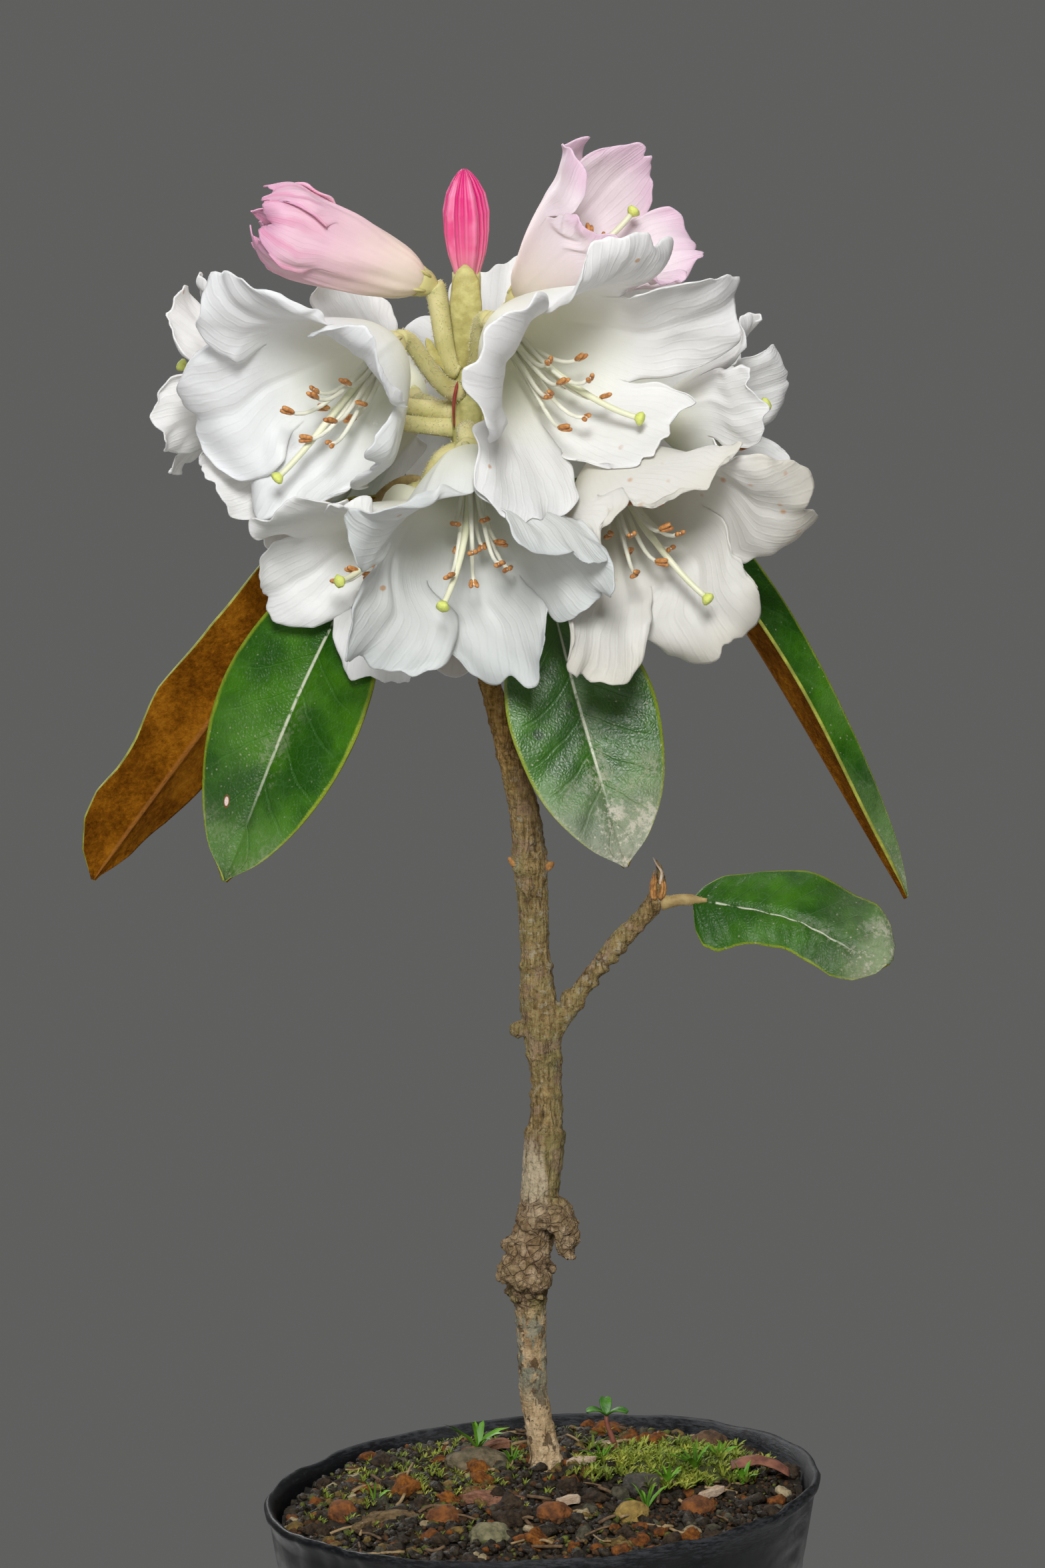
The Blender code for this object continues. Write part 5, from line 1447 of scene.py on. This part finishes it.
def blade(heap, foot, tip, bow, width, dice, paint=0):
    """Narrow pointed leaf with a keel, from foot to tip."""
    foot, tip = np.array(foot, float), np.array(tip, float)
    way = unit(tip - foot)
    side = across(way) * cos(dice.uniform(0, 1.5)) + np.cross(way, across(way)) * 0.3
    points = []
    for t, share in ((0.0, 0.6), (0.35, 1.0), (0.7, 0.7)):
        centre = foot + (tip - foot) * t + np.array((0.0, 0.0, bow * sin(pi * t)))
        wing = side * width * share
        points += [centre - wing, centre + (0, 0, -width * 0.3), centre + wing]
    points.append(tip)
    faces = [(0, 1, 4, 3), (1, 2, 5, 4), (3, 4, 7, 6), (4, 5, 8, 7), (6, 7, 9), (7, 8, 9)]
    heap.add(points, faces, paint)


def sprig(heap, place, size, count, dice):
    """Star of narrow leaves on a short stem."""
    for i in range(count):
        turn = TURN * (i + dice.uniform(-0.3, 0.3)) / count
        lean = dice.uniform(0.25, 1.1)
        way = np.array((cos(turn) * lean, sin(turn) * lean, 1.0 - lean * 0.45))
        blade(heap, place, place + way * size * dice.uniform(0.7, 1.1), size * 0.15, size * 0.1, dice)


def build_moss():
    dice = random.Random(9)
    moss_low, moss_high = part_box("moss_cushion")
    centre = (moss_low + moss_high) / 2 / MM
    size = (moss_high - moss_low) / 2 / MM
    cushion = primitive(bpy.ops.mesh.primitive_uv_sphere_add, "moss_cushion_bed", segments=64, ring_count=32,
                        radius=1.0, location=centre * MM, scale=size * MM)
    points = points_of(cushion.data) / MM
    points[:, 2] += 0.5 * ripples(31, 4.0, *points.T) + 0.25 * ripples(32, 1.4, *points.T)
    move_points(cushion.data, points)
    bed = plain_paint("moss_bed", (0.1, 0.12, 0.02), (0.03, 0.035, 0.008), 2.0, 0.9, 0.8)
    dress(cushion, "moss", bed, replaces=("moss_cushion",))
    heap = Heap()
    for _ in range(900):
        x, y = dice.uniform(4.0, 50.0), dice.uniform(-20.0, 33.0)
        away = ((x - 29.0) / 20.0) ** 2 + ((y - 9.0) / 19.0) ** 2
        away += noise.noise(Vector((x, y, 0)) / 7.0) * 1.1
        if away > dice.uniform(0.5, 1.15) or hypot(x, y) > 53.0:
            continue
        hump = 1 - ((x - centre.x) / size.x) ** 2 - ((y - centre.y) / size.y) ** 2
        z = max(mix_height(x, y) + 0.6, centre.z + size.z * sqrt(max(0.0, hump)) * 0.9)
        sprig(heap, np.array((x, y, z)), dice.uniform(1.6, 3.6), dice.randint(6, 9), dice)
    for _ in range(420):
        x, y = dice.gauss(-22.0, 16.0), dice.gauss(14.0, 18.0)
        if hypot(x, y) < 52.0 and hypot(x - TRUNK_FOOT[0], y - TRUNK_FOOT[1]) > 6.0:
            sprig(heap, np.array((x, y, mix_height(x, y) + 0.5)), dice.uniform(1.0, 2.2), 6, dice)
    shoots = Paint("moss_shoots")
    green = shoots.ramp(shoots.cloud(7.0, 3.0), (0.32, (0.1, 0.15, 0.012)), (0.5, (0.24, 0.3, 0.03)),
                        (0.68, (0.42, 0.44, 0.06)))
    dress(heap.piece("moss_shoots"), "moss", shoots.finished(green, 0.65))


def build_sprigs():
    """Brighter grassy sprigs, and the seedling with its three round leaves."""
    dice = random.Random(19)
    heap = Heap()
    for x, y, lift, size, count in (
            (-14.0, 18.0, 3.8, 8.5, 10), (-6.5, 13.0, 0.6, 5.0, 8), (-36.0, -3.0, 0.5, 6.5, 4),
            (13.0, 11.0, 0.6, 5.5, 9), (33.0, 0.0, 2.6, 7.5, 10), (27.0, -8.0, 1.4, 6.5, 9),
            (22.0, -20.0, 0.5, 6.5, 8), (43.0, -3.0, 1.0, 5.5, 8), (38.0, 8.0, 2.4, 6.5, 9)):
        sprig(heap, np.array((x, y, mix_height(x, y) + lift)), size, count, dice)
    bright = plain_paint("sprig_green", (0.17, 0.4, 0.02), (0.07, 0.21, 0.01), 5.0, 0.5, 0.02)
    dress(heap.piece("green_sprigs"), "moss", bright)
    foot = np.array((16.2, 22.0, mix_height(16.2, 22.0) - 0.5))
    top = foot + (-2.0, 0.0, 8.6)
    stem = Heap()
    course = arch(foot, foot + (0.3, 0, 3.0), top - (0.2, 0, 3.0), top, 10)
    stem.add(*tube(course, np.linspace(0.75, 0.5, len(course)), 10))
    dress(stem.piece("seedling_stem"), "stalk",
          plain_paint("seedling_red", (0.3, 0.1, 0.06), (0.16, 0.05, 0.03), 2.0, 0.6, 0.05))
    green = plain_paint("seedling_green", (0.085, 0.26, 0.015), (0.03, 0.13, 0.006), 3.0, 0.45, 0.15)
    for i, (turn, lean, length) in enumerate(((200, 0.22, 4.6), (-25, 0.2, 5.0), (95, 0.9, 3.8))):
        way = np.array((cos(radians(turn)), sin(radians(turn)) * 0.7, 0.0))
        side = np.array((-way[1], way[0], 0.0))

        def rule(u, v):
            t = (v + 1) / 2
            width = 1.75 * np.sqrt(np.clip(1 - (2 * t - 1.05) ** 2 / 1.12, 0.0, 1.0)) + 0.15
            height = t * lean * length + 0.9 * np.sin(pi * t) + 0.35 * abs(u) ** 2
            return (top + way * (t * length)[:, None] + side * (u * width)[:, None]
                    + np.outer(height, (0, 0, 1)))

        made = sheet("seedling_leaf_%d" % (i + 1), 12, 18, rule)
        refine(made, "SOLIDIFY", thickness=0.3 * MM, offset=0.0)
        dress(made, "leaf", green)


# Place that the lamps face and place of the camera, in metres, and the camera's angle below level
LIT_PLACE = (-0.005, 0.0, 0.26)
CAMERA_PLACE = (-0.0042, -1.1, 0.386)
CAMERA_DOWN = 6.7


def build_stage():
    """Floor, dim surroundings, five lamps and the camera."""
    floor = primitive(bpy.ops.mesh.primitive_circle_add, "floor", vertices=128, radius=0.3, fill_type="NGON",
                      location=(0, 0, -0.0004))
    floor.data.materials.append(Paint("floor_pale").finished((0.62, 0.62, 0.61), 0.8))
    world = bpy.data.worlds.new("studio")
    world.use_nodes = True
    world.node_tree.nodes["Background"].inputs["Color"].default_value = (0.115, 0.115, 0.113, 1.0)
    bpy.context.scene.world = world
    for name, place, size, power in (
            ("key", (-0.02, -1.12, 0.82), 0.3, 13.0), ("fill", (-0.75, -0.8, 0.55), 0.7, 1.6),
            ("top", (0.1, 0.15, 1.15), 0.5, 2.6), ("low", (-0.1, -0.9, 0.12), 0.5, 0.4),
            ("back", (-0.5, 0.9, 0.7), 0.6, 5.0)):
        lamp = bpy.data.lights.new(name, "AREA")
        lamp.size = size
        lamp.energy = power
        light = bpy.data.objects.new(name, lamp)
        light.location = place
        way = Vector(LIT_PLACE) - Vector(place)
        light.rotation_euler = way.to_track_quat("-Z", "Y").to_euler()
        bpy.context.scene.collection.objects.link(light)
    lens = bpy.data.cameras.new("camera")
    lens.lens = 120.0
    lens.sensor_width = 36.0
    camera = bpy.data.objects.new("camera", lens)
    camera.location = CAMERA_PLACE
    camera.rotation_euler = (radians(90 - CAMERA_DOWN), 0.0, 0.0)
    bpy.context.scene.collection.objects.link(camera)
    bpy.context.scene.camera = camera
    bpy.context.scene.view_settings.view_transform = "Standard"


build_stage()
build_blooms()
build_buds()
build_bracts()
build_stalk()
build_leaves()
build_wood()
build_pot()
build_mix()
build_stones()
build_chips()
build_moss()
build_sprigs()
